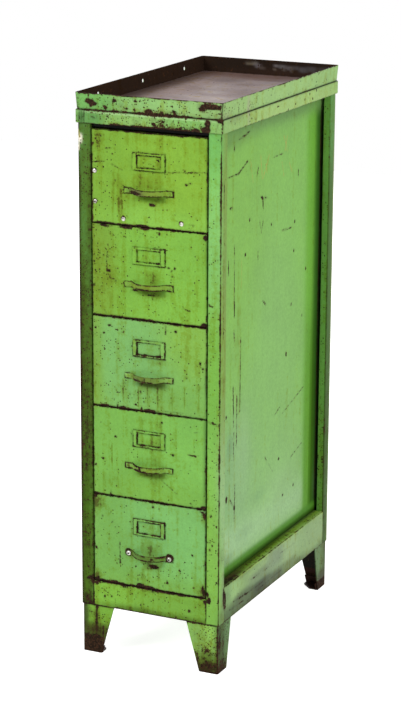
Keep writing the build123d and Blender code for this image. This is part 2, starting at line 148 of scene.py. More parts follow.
def panSkin(across, up, rim):
    # A flat grid, then its outline carried through the rim's places, each so far outward and so far back,
    # then a second grid that shuts the pan from the inside. Gives points as (across, up, back), and quads.
    rows, columns = len(up), len(across)
    face = np.zeros((rows, columns, 3))
    face[..., 0], face[..., 1] = across, up[:, None]
    index = np.arange(rows * columns).reshape(rows, columns)
    loop = np.concatenate([index[0, :-1], index[:-1, -1], index[-1, :0:-1], index[:0:-1, 0]])
    edge = face.reshape(-1, 3)[loop]
    way = np.zeros_like(edge)
    way[:, 0] = (edge[:, 0] == across[-1]) * 1.0 - (edge[:, 0] == across[0])
    way[:, 1] = (edge[:, 1] == up[-1]) * 1.0 - (edge[:, 1] == up[0])
    rings = np.stack([edge + way * out + (0, 0, back) for out, back in rim])
    inner = face.copy().reshape(-1, 3)
    inner[:, 2] = rim[-1][1]
    inner[loop] = rings[-1]
    rings = rings[:-1]
    first = rows * columns
    last = first + rings.shape[0] * len(loop)
    loops = [loop] + [first + i * len(loop) + np.arange(len(loop)) for i in range(len(rings))] + [last + loop]
    flat = np.stack([index[:-1, :-1], index[:-1, 1:], index[1:, 1:], index[1:, :-1]], -1).reshape(-1, 4)
    quads = [flat, last + flat[:, ::-1]]
    for one, two in zip(loops[:-1], loops[1:]):
        quads.append(np.stack([np.roll(one, -1), one, two, np.roll(two, -1)], -1))
    points = np.concatenate([face.reshape(-1, 3), rings.reshape(-1, 3), inner])
    return points, np.concatenate(quads)


def roundCorners(a, b, halfA, halfB, radius):
    # square corners to round ones: past a corner's hub, each offset is shortened to its own larger component
    overA, overB = np.abs(a) - (halfA - radius), np.abs(b) - (halfB - radius)
    inCorner = (overA > 0) & (overB > 0)
    ratio = np.where(inCorner, np.maximum(overA, overB) / np.maximum(np.hypot(overA, overB), 1e-9), 1)
    return (
        np.where(inCorner, np.sign(a) * (halfA - radius + overA * ratio), a),
        np.where(inCorner, np.sign(b) * (halfB - radius + overB * ratio), b),
    )


def innerSide(grid):
    # a sheet's ring starts along its outer side and comes back along its inner side
    return np.tile(np.arange(grid.shape[1]) >= grid.shape[1] // 2, len(grid))


def makePiece(name, skins, body, node, recalculate=False):
    # one mesh from several closed skins, smooth but for edges sharper than sharpAngle
    points, faces, first = [], [], 0
    for skinPoints, skinFaces in skins:
        points.append(skinPoints)
        faces.append(skinFaces + first)
        first += len(skinPoints)
    mesh = bpy.data.meshes.new(name)
    mesh.from_pydata((np.concatenate(points) * millimetre).tolist(), [], np.concatenate(faces).tolist())
    if recalculate:
        work = bmesh.new()
        work.from_mesh(mesh)
        bmesh.ops.delete(work, geom=[v for v in work.verts if not v.link_faces], context="VERTS")
        bmesh.ops.recalc_face_normals(work, faces=work.faces)
        work.to_mesh(mesh)
        work.free()
    mesh.polygons.foreach_set("use_smooth", np.ones(len(mesh.polygons), bool))
    mesh.update()
    mesh.set_sharp_from_angle(angle=radians(sharpAngle))
    piece = bpy.data.objects.new(name, mesh)
    bpy.context.scene.collection.objects.link(piece)
    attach(piece, body)
    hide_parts(node)
    return piece


def vertices(piece):
    # places of a piece's vertices, in millimetres
    place = np.empty(len(piece.data.vertices) * 3, np.float32)
    piece.data.vertices.foreach_get("co", place)
    return place.reshape(-1, 3).astype(float) / millimetre


# ---- wear and painted light, worked out on the vertices and read by the paint

# Each look gives its marks in the two surface coordinates a and b of its piece, in millimetres:
# tones and shades: a, b, reaches, colour      stains, pocks and chipped zones: a, b, reaches, depth
# rust: a, b, reaches                          cuts and scuffs: two ends, half width
# drips: a, top, bottom, half width, depth     edges: coordinate held, its value, ends of the other, depth
noRust = -12.0  # so far outside every rusty edge, in millimetres
rustyFoot = 34.0  # a leg's inner side is rusty below this height


def rows(marks, width):
    # the marks' columns, each as one row to set against the column of vertices
    return np.array(list(marks), float).reshape(-1, width).T[:, None, :]


def bell(a, b, middleA, middleB, reachA, reachB, power=2):
    # exp(-(distance / reach) to the power), over both coordinates
    return np.exp(-(((a - middleA) / reachA) ** power) - ((b - middleB) / reachB) ** power)


def bells(a, b, marks):
    # the marks' bells, each times its depth, added up
    *spots, depth = rows(marks, 5)
    return (depth * bell(a, b, *spots)).sum(1)


def strokes(a, b, marks):
    # half width less the distance to the nearest point of each straight stroke, which lies t of the way along
    # it
    a0, b0, a1, b1, reach = rows(marks, 5)
    runA, runB = a1 - a0, b1 - b0
    t = np.clip(((a - a0) * runA + (b - b0) * runB) / np.maximum(runA**2 + runB**2, 1e-9), 0, 1)
    return reach - np.hypot(a - a0 - t * runA, b - b0 - t * runB)


def wearAndPaintedLightLayers(a, b, look, dark=None):
    # Colour is the mean of the base and the tones, each weighed by 9 times its bell; shades then lie over it
    # as bells of the fourth power. In several looks these tones and shades are painted shade and painted
    # highlights as well as the thing's own colour. Rust and scuffs are kept as millimetres inside their edge,
    # which the paint breaks up. A chipped zone lies just under the rust's threshold, so that the paint's
    # noise breaks through in places.
    a, b = a[:, None], b[:, None]
    kinds = ("rust", "cuts", "chipped", "stains", "drips", "scuffs", "pocks")
    marks = {kind: look.get(kind, ()) for kind in kinds}
    none = np.full((len(a), 1), noRust)
    colour, weight = np.tile(linear(look["base"]), (len(a), 1)), np.ones((len(a), 1))
    for *spot, tone in look.get("tones", ()):
        share = 9 * bell(a, b, *spot)
        colour += share * linear(tone)
        weight += share
    colour /= weight
    for *spot, tone in look.get("shades", ()):
        colour += (linear(tone) - colour) * bell(a, b, *spot, power=4)
    if dark is not None:
        inside = look.get("inside", (62, 70, 36))
        colour[dark] = linear(inside)
        colour[dark & (b[:, 0] < rustyFoot)] = linear(look.get("insideFoot", inside))
    u, v, reachA, reachB = rows(marks["rust"], 4)
    spots = (1 - np.hypot((a - u) / reachA, (b - v) / reachB)) * np.minimum(reachA, reachB)
    u, v, reachA, reachB, level = rows(marks["chipped"], 5)
    zones = level - 3 * (((a - u) / reachA) ** 2 + ((b - v) / reachB) ** 2)
    edges = []
    for axis, place, start, end, depth in look.get("edges", ()):
        off, along = (a, b) if axis == "a" else (b, a)
        past = np.maximum(np.maximum(start - along, along - end), 0)
        edges.append(depth - np.hypot(off - place, past))
    rust = np.concatenate([none, spots, strokes(a, b, marks["cuts"]), zones] + edges, 1).max(1)
    u, top, bottom, reach, depth = rows(marks["drips"], 5)
    t = (top - b) / np.maximum(top - bottom, 1)
    drips = depth * np.exp(-(((a - u) / reach) ** 2)) * np.clip(t * 8, 0, 1) * np.clip((1 - t) * 3, 0, 1)
    stain = np.clip(bells(a, b, marks["stains"]) + drips.sum(1), -0.5, 1)
    scuff = np.concatenate([none, strokes(a, b, marks["scuffs"])], 1).max(1)
    pock = look.get("pock", 0.02) + bells(a, b, marks["pocks"])
    return {
        "paint": np.column_stack([colour, np.ones(len(a))]),
        "wear": np.column_stack([rust, stain, scuff, pock]),
    }


def wearOn(piece, layers):
    # gives the piece its layers and the paint that reads them
    for name, values in layers.items():
        layer = piece.data.color_attributes.new(name, "FLOAT_COLOR", "POINT")
        layer.data.foreach_set("color", values.astype(np.float32).ravel())
    piece.data.materials.append(wornPaintWithPaintedLight)


def dressed(name, skins, node, look, coordinates, dark=None, body="cabinet"):
    # one worn piece; coordinates and dark turn the vertices' places into a and b, and into which are on the
    # inside
    piece = makePiece(name, skins, body, node)
    place = vertices(piece)
    wearOn(piece, wearAndPaintedLightLayers(*coordinates(place), look, dark(place) if dark else None))
    return piece


def acrossUp(place):
    # a is x and b is the height
    return place[:, 0], place[:, 2]


# ---- materials

class Wire:
    # one socket of a node; sums and products of wires and numbers add Math nodes
    def __init__(self, finish, socket):
        self.finish, self.socket = finish, socket

    def maths(self, operation, one, two):
        return self.finish.add("Math", {"operation": operation}, {0: one, 1: two})

    def __add__(self, other):
        return self.maths("ADD", self, other)

    def __sub__(self, other):
        return self.maths("SUBTRACT", self, other)

    def __rsub__(self, other):
        return self.maths("SUBTRACT", other, self)

    def __mul__(self, other):
        return self.maths("MULTIPLY", self, other)

    __radd__ = __add__
    __rmul__ = __mul__

    def larger(self, other):
        return self.maths("MAXIMUM", self, other)

    def smaller(self, other):
        return self.maths("MINIMUM", self, other)

    def rise(self, low, high):
        # 0 below low, 1 above high, smooth between
        settings = {"interpolation_type": "SMOOTHSTEP"}
        return self.finish.add("MapRange", settings, {"Value": self, "From Min": low, "From Max": high})


class Finish:
    # one node tree; add makes any node from its type, its settings and its sockets' values or wires
    def __init__(self, name, owner=None):
        self.owner = owner or bpy.data.materials.new(name)
        self.owner.use_nodes = True
        self.tree = self.owner.node_tree
        self.tree.nodes.clear()

    def add(self, kind, settings=None, sockets=None, output=0):
        node = self.tree.nodes.new("ShaderNode" + kind)
        for key, value in (settings or {}).items():
            setattr(node, key, value)
        for key, value in (sockets or {}).items():
            if isinstance(value, Wire):
                self.tree.links.new(value.socket, node.inputs[key])
            else:
                node.inputs[key].default_value = value
        return Wire(self, node.outputs[output]) if len(node.outputs) else None

    def blend(self, one, two, share):
        # colour one turning into colour two
        return self.add("Mix", {"data_type": "RGBA"}, {0: share, 6: one, 7: two}, 2)

    def scaled(self, colour, amount):
        return self.add("VectorMath", {"operation": "SCALE"}, {0: colour, 3: amount})

    def tinted(self, colour, tint):
        return self.add("VectorMath", {"operation": "MULTIPLY"}, {0: colour, 1: tint})

    def noise(self, place, scale, detail=2.0, roughness=0.5):
        sockets = {"Vector": place, "Scale": scale, "Detail": detail, "Roughness": roughness}
        return self.add("TexNoise", None, sockets)

    def surface(self, colour, roughness, height, **fixed):
        # height is in millimetres
        normal = self.add("Bump", None, {"Strength": 1.0, "Distance": millimetre, "Height": height})
        sockets = {"Base Color": colour, "Roughness": roughness, "Normal": normal}
        sockets.update({key.replace("_", " "): value for key, value in fixed.items()})
        shader = self.add("BsdfPrincipled", None, sockets)
        self.add("OutputMaterial", None, {"Surface": shader})
        return self.owner


def opaque(colour):
    return tuple(float(c) for c in colour) + (1.0,)


enamel = {
    "cloudScale": 9.0,  # soft light and dark patches, per metre
    "streakScale": 60.0,
    "mottleScale": 46.0,
    "raggedScale": 75.0,  # how coarsely the chipped edges wander
    "raggedReach": 9.0,  # and how far, in millimetres
    "fineScale": 170.0,
    "grainScale": 330.0,
    "pockScale": 100.0,
    "speckScale": 230.0,
    "oliveTint": (0.80, 0.70, 0.40),
    "umberTint": (0.46, 0.24, 0.27),
    "bleedTint": (0.36, 0.22, 0.25),
    "scuff": linear((166, 158, 84)),
    "rustDark": linear((30, 21, 12)),
    "rustLight": linear((74, 49, 33)),
}


def paintFinish(name, plain=None, matt=0.0):
    # Rust shows where its millimetres, plus noise, are over 0. Pocks and specks are cells whose own random
    # number is under the density there. Dirt is half and half the stain and three noises: olive first, umber
    # where it is deep. Without the piece's own attributes, a plain colour and noise on Object coordinates
    # stand in.
    g = Finish(name)
    place = g.add("TexCoord", None, None, "Object")
    cloud = g.noise(place, enamel["cloudScale"], 4.0, 0.6)
    coarse = g.noise(place, enamel["raggedScale"], 5.0, 0.68)
    grain = g.noise(place, enamel["grainScale"], 2.0, 0.6)
    stretched = g.add("Mapping", None, {"Vector": place, "Scale": (1.0, 1.0, 0.06)})
    streak = g.noise(stretched, enamel["streakScale"], 4.0, 0.6)
    mottle = g.noise(place, enamel["mottleScale"], 5.0, 0.7)
    fine = g.noise(place, enamel["fineScale"], 3.0, 0.65)
    if plain is None:
        paint = g.add("Attribute", {"attribute_name": "paint"}, None, "Color")
        wear = g.add("Attribute", {"attribute_name": "wear"}, None, "Color").socket.node
        split = g.add("SeparateColor", None, {0: Wire(g, wear.outputs["Color"])}).socket.node
        rust, stain, scuff = (Wire(g, split.outputs[i]) for i in range(3))
        density = Wire(g, wear.outputs["Alpha"])
    else:
        pale, dark = opaque(linear(plain["paint"])), opaque(linear(plain["paintDark"]))
        paint = g.blend(pale, dark, cloud.rise(0.4, 0.7))
        rust = cloud * plain["rustSpread"] - plain["rustFree"]
        stain = cloud * plain["stain"]
        scuff = None
        density = cloud * plain["pocks"]
    shift = (coarse - 0.5) * enamel["raggedReach"] + (cloud - 0.5) * 6.0 + (grain - 0.5) * 4.0
    ragged = rust + shift
    rusty = ragged.rise(-0.2, 0.3)
    density = density * mottle.rise(0.40, 0.60) * 1.8
    for scale, share, most in ((enamel["pockScale"], 0.4, 0.26), (enamel["speckScale"], 1.0, 0.32)):
        cell = g.add("TexVoronoi", {"feature": "F1"}, {"Vector": place, "Scale": scale}).socket.node
        lot = g.add("SeparateColor", None, {0: Wire(g, cell.outputs["Color"])})
        radius = ((density * share - lot) * 12.0).smaller(most)
        hollow = radius - Wire(g, cell.outputs["Distance"]) + (grain - 0.5) * 0.9
        rusty = rusty.larger(hollow.rise(0.0, 0.06))
    dirt = stain * 0.75 + mottle * 1.1 + fine * 1.1 + streak * 1.6 - 1.42
    bright = 0.37 - matt * 0.9 + cloud * (0.36 + matt) + mottle * (matt * 1.6) + grain * 0.22 + streak * 0.20
    tone = g.scaled(paint, bright + fine * 0.48)
    tone = g.blend(tone, g.tinted(tone, enamel["oliveTint"]), dirt.rise(0.50, 0.86) * 0.85)
    tone = g.blend(tone, g.tinted(tone, enamel["umberTint"]), dirt.rise(0.86, 1.22) * 0.9)
    tone = g.blend(tone, g.tinted(tone, enamel["bleedTint"]), ragged.rise(-2.6, 0.4) * (0.5 - matt))
    bare = rusty
    if scuff is not None:
        worn = (scuff + shift * 0.4).rise(-0.2, 1.4) * 0.9
        tone = g.blend(tone, opaque(enamel["scuff"]), worn)
        bare = rusty.larger(worn * 0.5)
    rustTone = (grain * 0.6 + mottle * 0.4).rise(0.42, 0.66)
    corroded = g.blend(opaque(enamel["rustDark"]), opaque(enamel["rustLight"]), rustTone)
    colour = g.blend(tone, corroded, rusty)
    roughness = 0.44 + matt + cloud * 0.16 + bare * 0.32 + stain * 0.12
    height = cloud * 0.5 + grain * 0.03 + mottle * 0.08 - rusty * (0.20 + grain * 0.14)
    return g.surface(colour, roughness, height, Specular_IOR_Level=0.10 - matt * 0.2)


def steelFinish(name, look):
    # brushed along its length with grime in soft patches; patches of rust eat in where the noise is high
    g = Finish(name)
    place = g.add("TexCoord", None, None, "Object")
    stretched = g.add("Mapping", None, {"Vector": place, "Scale": (1.0, 0.06, 1.0)})
    brush = g.noise(stretched, look["brushScale"], 2.0)
    patch = g.noise(place, look["patchScale"], 4.0, 0.65)
    grain = g.noise(place, 420.0, 2.0)
    rusty = (patch + (grain - 0.5) * 0.15).rise(look["rustFrom"], look["rustFrom"] + 0.06)
    steel = g.blend(opaque(linear(look["steel"])), opaque(linear(look["grime"])), patch.rise(0.35, 0.7))
    steel = g.scaled(steel, 0.85 + brush * 0.3)
    corroded = g.blend(opaque(enamel["rustDark"]), opaque(enamel["rustLight"]), grain.rise(0.4, 0.7))
    colour = g.blend(steel, corroded, rusty)
    for x, z in look.get("recesses", ()):
        # dark within a round recess at x and z, seen along y
        ends = {0: g.tinted(place, (1, 0, 1)), 1: (x * millimetre, 0, z * millimetre)}
        off = g.add("VectorMath", {"operation": "DISTANCE"}, ends, 1)
        within = 1 - (off * (1 / millimetre)).rise(look["recess"] - 0.4, look["recess"] + 0.4)
        colour = g.blend(colour, opaque(enamel["rustDark"]), within)
    metallic = (1 - rusty) * look["metallic"]
    rough = look["roughness"] + brush * 0.1 + rusty * 0.4
    return g.surface(colour, rough, brush * 0.03 - rusty * 0.1 + grain * 0.02, Metallic=metallic)


# the paint colour these two read holds painted shade and painted highlights where the looks give them
wornPaintWithPaintedLight = paintFinish("worn_green_enamel_with_painted_light")
trayPaintWithPaintedLight = paintFinish("greasy_tray_enamel_with_painted_light", matt=0.35)
plainPaint = paintFinish("inner_green_enamel", {
    "paint": (118, 166, 82), "paintDark": (92, 132, 62), "rustSpread": 26.0,
    "rustFree": 17.5, "stain": 0.5, "pocks": 0.25,
})
rivetPaint = paintFinish("rivet_green_enamel", {
    "paint": (128, 170, 70), "paintDark": (112, 146, 58), "rustSpread": 4.0,
    "rustFree": 5.0, "stain": 0.5, "pocks": 0.1,
})
# painted shade: near black enamel with some rust for the front header, standing for the shade in the gap
# under the band
darkPaint = paintFinish("shadowed_green_enamel", {
    "paint": (5, 6, 3), "paintDark": (4, 3, 2), "rustSpread": 20.0, "rustFree": 16.0, "stain": 0.3,
    "pocks": 0.2,
})
footPaint = paintFinish("rusted_foot_enamel", {
    "paint": (56, 27, 16), "paintDark": (40, 20, 12), "rustSpread": 20.0, "rustFree": 16.0, "stain": 0.3,
    "pocks": 0.2,
})
runnerSteel = steelFinish("runner_steel", {
    "steel": (128, 122, 112), "grime": (72, 62, 52), "brushScale": 260.0, "patchScale": 30.0,
    "rustFrom": 0.56, "roughness": 0.42, "metallic": 0.85,
})
brightLook = {
    "steel": (226, 224, 216), "grime": (118, 112, 100), "brushScale": 500.0, "patchScale": 160.0,
    "rustFrom": 0.62, "roughness": 0.3, "metallic": 0.55,
}
brightSteel = steelFinish("bright_fastener_steel", brightLook)
print("materials ready")

# ---- the drawers: folded fronts, card frames and bow pulls

drawers = {
    "sheet": 1.5, "edge": 1.6, "pitch": 2.0, "dent": 0.35, "dentWaves": (23.0, 31.0),
    "margin": (6.0, 30.0), "middle": (56.0, 20.0),  # flat so far from edges and middle, then fading in
    "labelWindow": (26.0, 12.5), "labelCorner": 2.5, "labelBead": 1.8, "labelSoft": 0.8,
    "bowRadius": 42.5, "rootRadius": 5.0, "tab": 15.5, "strap": 2.0, "strapSoft": 0.9,
    "tabMiddle": 46.0, "tabHalf": 8.0,
}
# On a front, a is across from its middle and b is up from its lower edge. Beside it the seams are painted
# shade in the gaps to the posts, given as middle and colour, and its gaps are how far they reach. The film
# is the stain all over it, and the colour given as under is a painted shadow below its pull. Fainter comes
# off the outlines' half widths. What starts with label or pull is for the card frame or the pull.
studSpots = ((-119.0, 104.3), (-118.0, 43.3), (-56.0, 13.3), (70.5, 14.3))
# painted shade: near black in the gaps between a front and the posts, right and left
seamShades = ((127.5, (8, 11, 3)), (-127.5, (12, 16, 5)))
fronts = {
    1: {
        "base": (128, 176, 60), "under": (92, 134, 34), "film": 0.08, "gaps": (3.0, 3.0), "pock": 0.06,
        "labelSides": 0.5,
        "tones": [
            (-105, 90, 35, 90, (124, 170, 60)), (60, 110, 70, 60, (131, 176, 60)),
            (0, 10, 130, 22, (136, 190, 76)),
        ],
        "rust": [
            (-116, 167, 2.8, 2.8), (-105, 174, 1.8, 1.8), (-122, 158, 1.8, 2.4), (-112, 159, 2, 1.6),
            (-89, 151, 3.6, 1.4), (-118, 175, 1.6, 1.6), (-98, 1, 12, 3.4), (-51, 1, 16, 3.2),
            (-12, 0, 14, 4.4), (7, 46, 6.4, 3.4), *((x, z, 5.1, 5.1) for x, z in studSpots),
            (78, 118, 1.4, 1.8), (81, 91, 0.8, 0.5), (90, 95, 0.8, 0.5), (-98, 176, 1.2, 1.2),
            (-111, 176, 1.4, 1), (-80, 140, 1, 1),
        ],
        "cuts": [
            (-122, 121, -101, 125, 0.6), (74, 12, 98, 14, 0.1), (-94, 150, -84, 152, 0.5),
            (-30, 112, 28, 111, 0.3), (36, 112, 122, 119, 0.1), (-120, 121, -96, 124, 0.9),
            (-82, 119, -58, 110, 0.1),
        ],
        "drips": [
            (-66, 60, 8, 2.2, 0.5), (-78, 114, 4, 2.8, 0.35), (-67, 114, 5, 3.2, 0.3),
            (-60, 80, 16, 2.4, 0.35), (-58, 52, 22, 2, 0.5), (-34, 109, 8, 5, 0.35), (-20, 110, 29, 3.6, 0.3),
            (-44, 70, 10, 4, 0.4),
        ],
        "stains": [
            (-5, 91, 34, 18, 0.5), (13, 54, 26, 6, 0.1), (-112, 167, 24, 18, 0.35), (0, 178, 110, 14, 0.28),
            (-112, 100, 20, 60, 0.22), (-62, 60, 26, 60, 0.22), (104, 150, 22, 40, 0.18),
        ],
        "pocks": [
            (-112, 165, 20, 18, 0.35), (-80, 150, 30, 20, 0.15), (0, 130, 24, 12, 0.5),
            (-105, 110, 20, 14, 0.2), (60, 112, 60, 8, 0.12), (-40, 40, 60, 40, 0.14),
            (-110, 60, 16, 60, 0.2),
        ],
        "edges": [("b", 0, -116, -10, 3.7), ("a", -125.3, 40, 181, 1.7), ("a", -125.3, 0, 40, 3.0)],
        "pullRust": [(-22, 4, 13, 4)],
        "pullTones": [(-18, 6, 16, 8, (96, 92, 58)), (12, 6, 16, 8, (122, 146, 56))],
    },
    2: {
        "base": (126, 181, 69), "under": (88, 128, 36), "film": 0.08, "gaps": (3.0, 2.6), "pock": 0.07,
        "labelSides": 0.1, "tones": [(-110, 100, 25, 90, (122, 160, 56)), (70, 60, 70, 70, (128, 184, 72))],
        "rust": [
            (122, 178, 5.6, 6.4), (121, 3, 6, 5.2), (23, 177, 3.2, 2.4), (-89, 93, 2.8, 2),
            (-79, 77, 2.4, 1.8), (-73, 73, 1.8, 1.8), (56, 111, 2, 1.8), (50, 106, 1.6, 1.4),
            (51, 95, 1.6, 1.6), (43, 111, 1.6, 1.2), (-91, 145, 1.8, 1.8), (-77, 122, 1.6, 1.6),
            (4, 52, 9, 1.2), (-30, 59, 6, 2), (-98, 184, 12, 3.6), (-51, 184, 16, 3.8), (-10, 184.5, 12, 3.0),
            (-121, 110, 1.6, 1.6), (-118, 85, 1.4, 1.8), (-107, 57, 1.4, 1.4), (-120, 63, 1.2, 1.6),
            (-100, 124, 1.2, 1.2),
        ],
        "cuts": [
            (-93, 133, -93, 92, 0.5), (7, 51, 8, 44, 0.2), (-98, 12, -95, 6, 0.5), (73, 33, 90, 29, 0.2),
        ],
        "drips": [(4, 102, 48, 10, 0.16), (13, 98, 62, 6, 0.16), (7, 57, 36, 2, 0.3), (-1, 52, 0, 3.2, 0.2)],
        "stains": [
            (9, 88, 20, 18, 0.45), (10, 51, 26, 7, 0.3), (-84, 82, 16, 14, 0.3), (-112, 90, 20, 90, 0.38),
            (-70, 100, 30, 80, 0.14), (90, 40, 40, 40, 0.15),
        ],
        "pocks": [(-95, 110, 36, 80, 0.3), (60, 90, 60, 60, 0.05), (-80, 172, 60, 12, 0.4)],
        "pullCuts": [(-32, 11, -8, 11, 0.8), (-20, 2, 30, 1, 1.6)],
    },
    3: {
        "base": (127, 180, 88), "under": (62, 86, 24), "film": 0.05, "gaps": (3.0, 2.6), "pock": 0.09,
        "labelRust": 2.4, "labelSides": 0.9,
        "tones": [
            (-40, 110, 60, 70, (126, 183, 104)), (90, 150, 50, 40, (131, 180, 76)),
            (-118, 90, 12, 90, (124, 168, 66)), (80, 25, 50, 30, (124, 178, 86)),
        ],
        "rust": [
            (-88, 169, 3.2, 2.4), (-100, 152, 2.4, 2), (58, 172, 2.4, 2), (-16, 59, 2.8, 3.2),
            (1, 64, 1.8, 1.6), (-41, 33, 1.6, 1.6), (-19, 37, 1.6, 1.6), (-12, 20, 1.6, 1.6),
            (-33, 12, 1.6, 1.4), (112, 113, 1.6, 2), (118, 103, 1.4, 1.8), (-47, 122, 1.6, 1.6),
            (-120, 47, 1.6, 2), (-82, 18, 1.6, 1.6), (82, 80, 1.6, 1.6), (-71, 2, 3, 7), (-60, 1, 10, 4),
            (-17, 2, 3, 6), (4, 2, 16, 4.2), (-100, 1, 14, 3.4),
        ],
        "cuts": [
            (37, 183, 37, 164, 0.8), (35, 6, 76, 7, 0.2), (-125, 0, -51, 1, 1.6), (1, 113, 34, 113, 1.8),
        ],
        "drips": [
            (-24, 52, 0, 1.6, 0.6), (-3, 55, 0, 2, 0.5), (19, 58, 0, 1.6, 0.6), (51, 62, 0, 1.6, 0.5),
            (78, 65, 4, 1.6, 0.5), (110, 69, 8, 1.6, 0.45), (-58, 65, 8, 2.4, 0.7),
        ],
        "stains": [
            (17, 104, 24, 8, 0.6), (6, 50, 34, 9, 0.2), (104, 130, 26, 60, 0.26), (-119, 90, 10, 90, 0.3),
            (0, 30, 60, 30, 0.22),
        ],
        "pocks": [(-40, 25, 80, 26, 0.3), (112, 108, 12, 26, 0.3), (-90, 140, 40, 40, 0.3)],
        "pullRust": [(-14, 4, 2.5, 3.5), (0, 7, 2, 6), (-24, 8, 1.6, 3)],
        "pullTones": [
            (0, 6, 22, 9, (104, 124, 52)), (-44, 6, 9, 9, (134, 180, 96)), (44, 6, 9, 9, (134, 174, 86)),
        ],
        "pullCuts": [
            (-34, 11, -6, 11, 0.8), (-28, 3, 14, 1, 2.4), (20, 10, 34, 10, 0.6), (-18, 3, -18, 9, 0.9),
            (-4, 2, -4, 9, 0.8), (12, 2, 13, 8, 0.6),
        ],
    },
    4: {
        "base": (121, 178, 77), "under": (86, 124, 40), "film": 0.05, "pock": 0.06, "fainter": 0.9,
        "labelRust": 0.4, "labelSides": 0.1,
        "tones": [
            # the first tone is painted shade, near black in the gap to the right post
            (128, 92, 5.4, 100, (4, 6, 1)), (80, 110, 60, 80, (126, 186, 86)),
            (-100, 90, 40, 80, (121, 177, 80)), (0, 15, 130, 22, (122, 176, 74)),
        ],
        "rust": [
            (-75, 126, 2.4, 2), (28, 169, 1.8, 1.8), (-104, 77, 1.8, 1.8), (-121, 62, 1.6, 1.8),
            (53, 105, 2, 1.8), (-87, 3, 1.8, 5.2), (93, 8, 2.4, 2.4), (121, 0, 8, 8), (112, 0, 8, 3.2),
        ],
        "cuts": [
            (86, 110, 103, 109, 0.2), (99, 158, 108, 159, 0.5), (28, 48, 62, 25, 0.0), (-124, 0, 28, 0, 1.2),
        ],
        "drips": [(-84, 116, 53, 1.6, 0.8), (6, 145, 85, 6, 0.4)],
        "stains": [
            (6, 166, 26, 16, 0.35), (-4, 54, 24, 6, 0.4), (-4, 80, 40, 40, 0.2), (-90, 30, 40, 30, 0.15),
        ],
        "pullTones": [
            (0, 6, 26, 9, (122, 154, 62)), (-44, 6, 9, 9, (136, 186, 94)), (44, 6, 9, 9, (130, 180, 86)),
        ],
        "pullRust": [(-12, 6, 2.4, 6)],
        "pullCuts": [
            (-34, 11, -6, 11, 1.0), (-26, 2, 26, 1, 1.8), (-12, 2, -12, 11, 1.2), (6, 10, 34, 10, 0.5),
        ],
    },
    5: {
        "base": (123, 180, 90), "film": 0.04, "gaps": (2.6, 2.4), "pock": 0.06, "labelRust": 1.2,
        "labelSides": 1.1,
        "tones": [
            (50, 110, 80, 70, (125, 186, 104)), (-100, 90, 40, 70, (120, 175, 84)),
            (0, 10, 130, 20, (122, 176, 80)),
        ],
        "rust": [
            (-122, 182, 5, 4), (123, 175, 3.2, 8), (119, 181, 5, 2.6), (-123, 2, 5, 5), (-117, 6, 3, 4),
            (123, 9, 3.6, 10), (120, 20, 1.6, 5), (118, 2, 5, 2.4), (-107, 0, 14, 3.6), (-76, 1, 14, 3.4),
            (-9, 1, 18, 4.6), (-20, 4, 9, 5), (10, 49, 10.5, 4.3), (-46, 73, 9.5, 9), (46, 73, 9.5, 9),
            (-106, 141, 1.9, 1.9), (-84, 131, 2.1, 2.1), (-121, 71, 2.1, 2.4), (97, 87, 1.9, 1.9),
            (69, 50, 1.9, 1.9), (41, 19, 1.9, 1.9), (8, 176, 2.4, 2.1),
        ],
        "cuts": [(-67, 89, -66, 45, 1.5), (-120, 1, -56, 1, 1.9), (-32, 0, 13, 1, 2.1)],
        "drips": [(2, 101, 56, 14.3, 0.2), (-15, 43, 12, 3.3, 0.5), (21, 49, 15, 2.9, 0.45)],
        "stains": [
            (2, 88, 28, 20, 0.5), (10, 47, 24, 10, 0.6), (-116, 170, 15, 18, 1.1), (-118, 10, 12, 12, 0.7),
            (118, 12, 12, 16, 0.6), (118, 168, 10, 14, 0.5), (0, 12, 110, 14, 0.2),
        ],
        "pocks": [(30, 35, 60, 22, 0.2), (-60, 100, 60, 60, 0.06)],
        "pullRust": [(-47, 6, 9, 8), (47, 6, 9, 8), (14, 6, 4, 3)],
        "pullTones": [(0, 6, 30, 9, (88, 118, 44))],
        "pullCuts": [(-36, 10, 0, 10, 1.2), (-36, 2, 20, 1, 2.0), (20, 9, 38, 10, 0.8)],
    },
}


def dressOnDrawer(name, skins, node, number, look):
    # a is across, and b is up from the piece's own foot
    foot = boxOf(node)[0][2]
    dressed(name, skins, node, look, lambda place: (place[:, 0], place[:, 2] - foot), body=f"drawer_{number}")


def outlined(left, right, foot, top, halfWidths):
    # the four sides of a rectangle as rusty cuts: foot, left, right and top; they are rust and painted shadow
    # together
    sides = (
        (left, foot, right, foot), (left, foot, left, top),
        (right, foot, right, top), (left, top, right, top),
    )
    return [(*side, halfWidth) for side, halfWidth in zip(sides, halfWidths)]


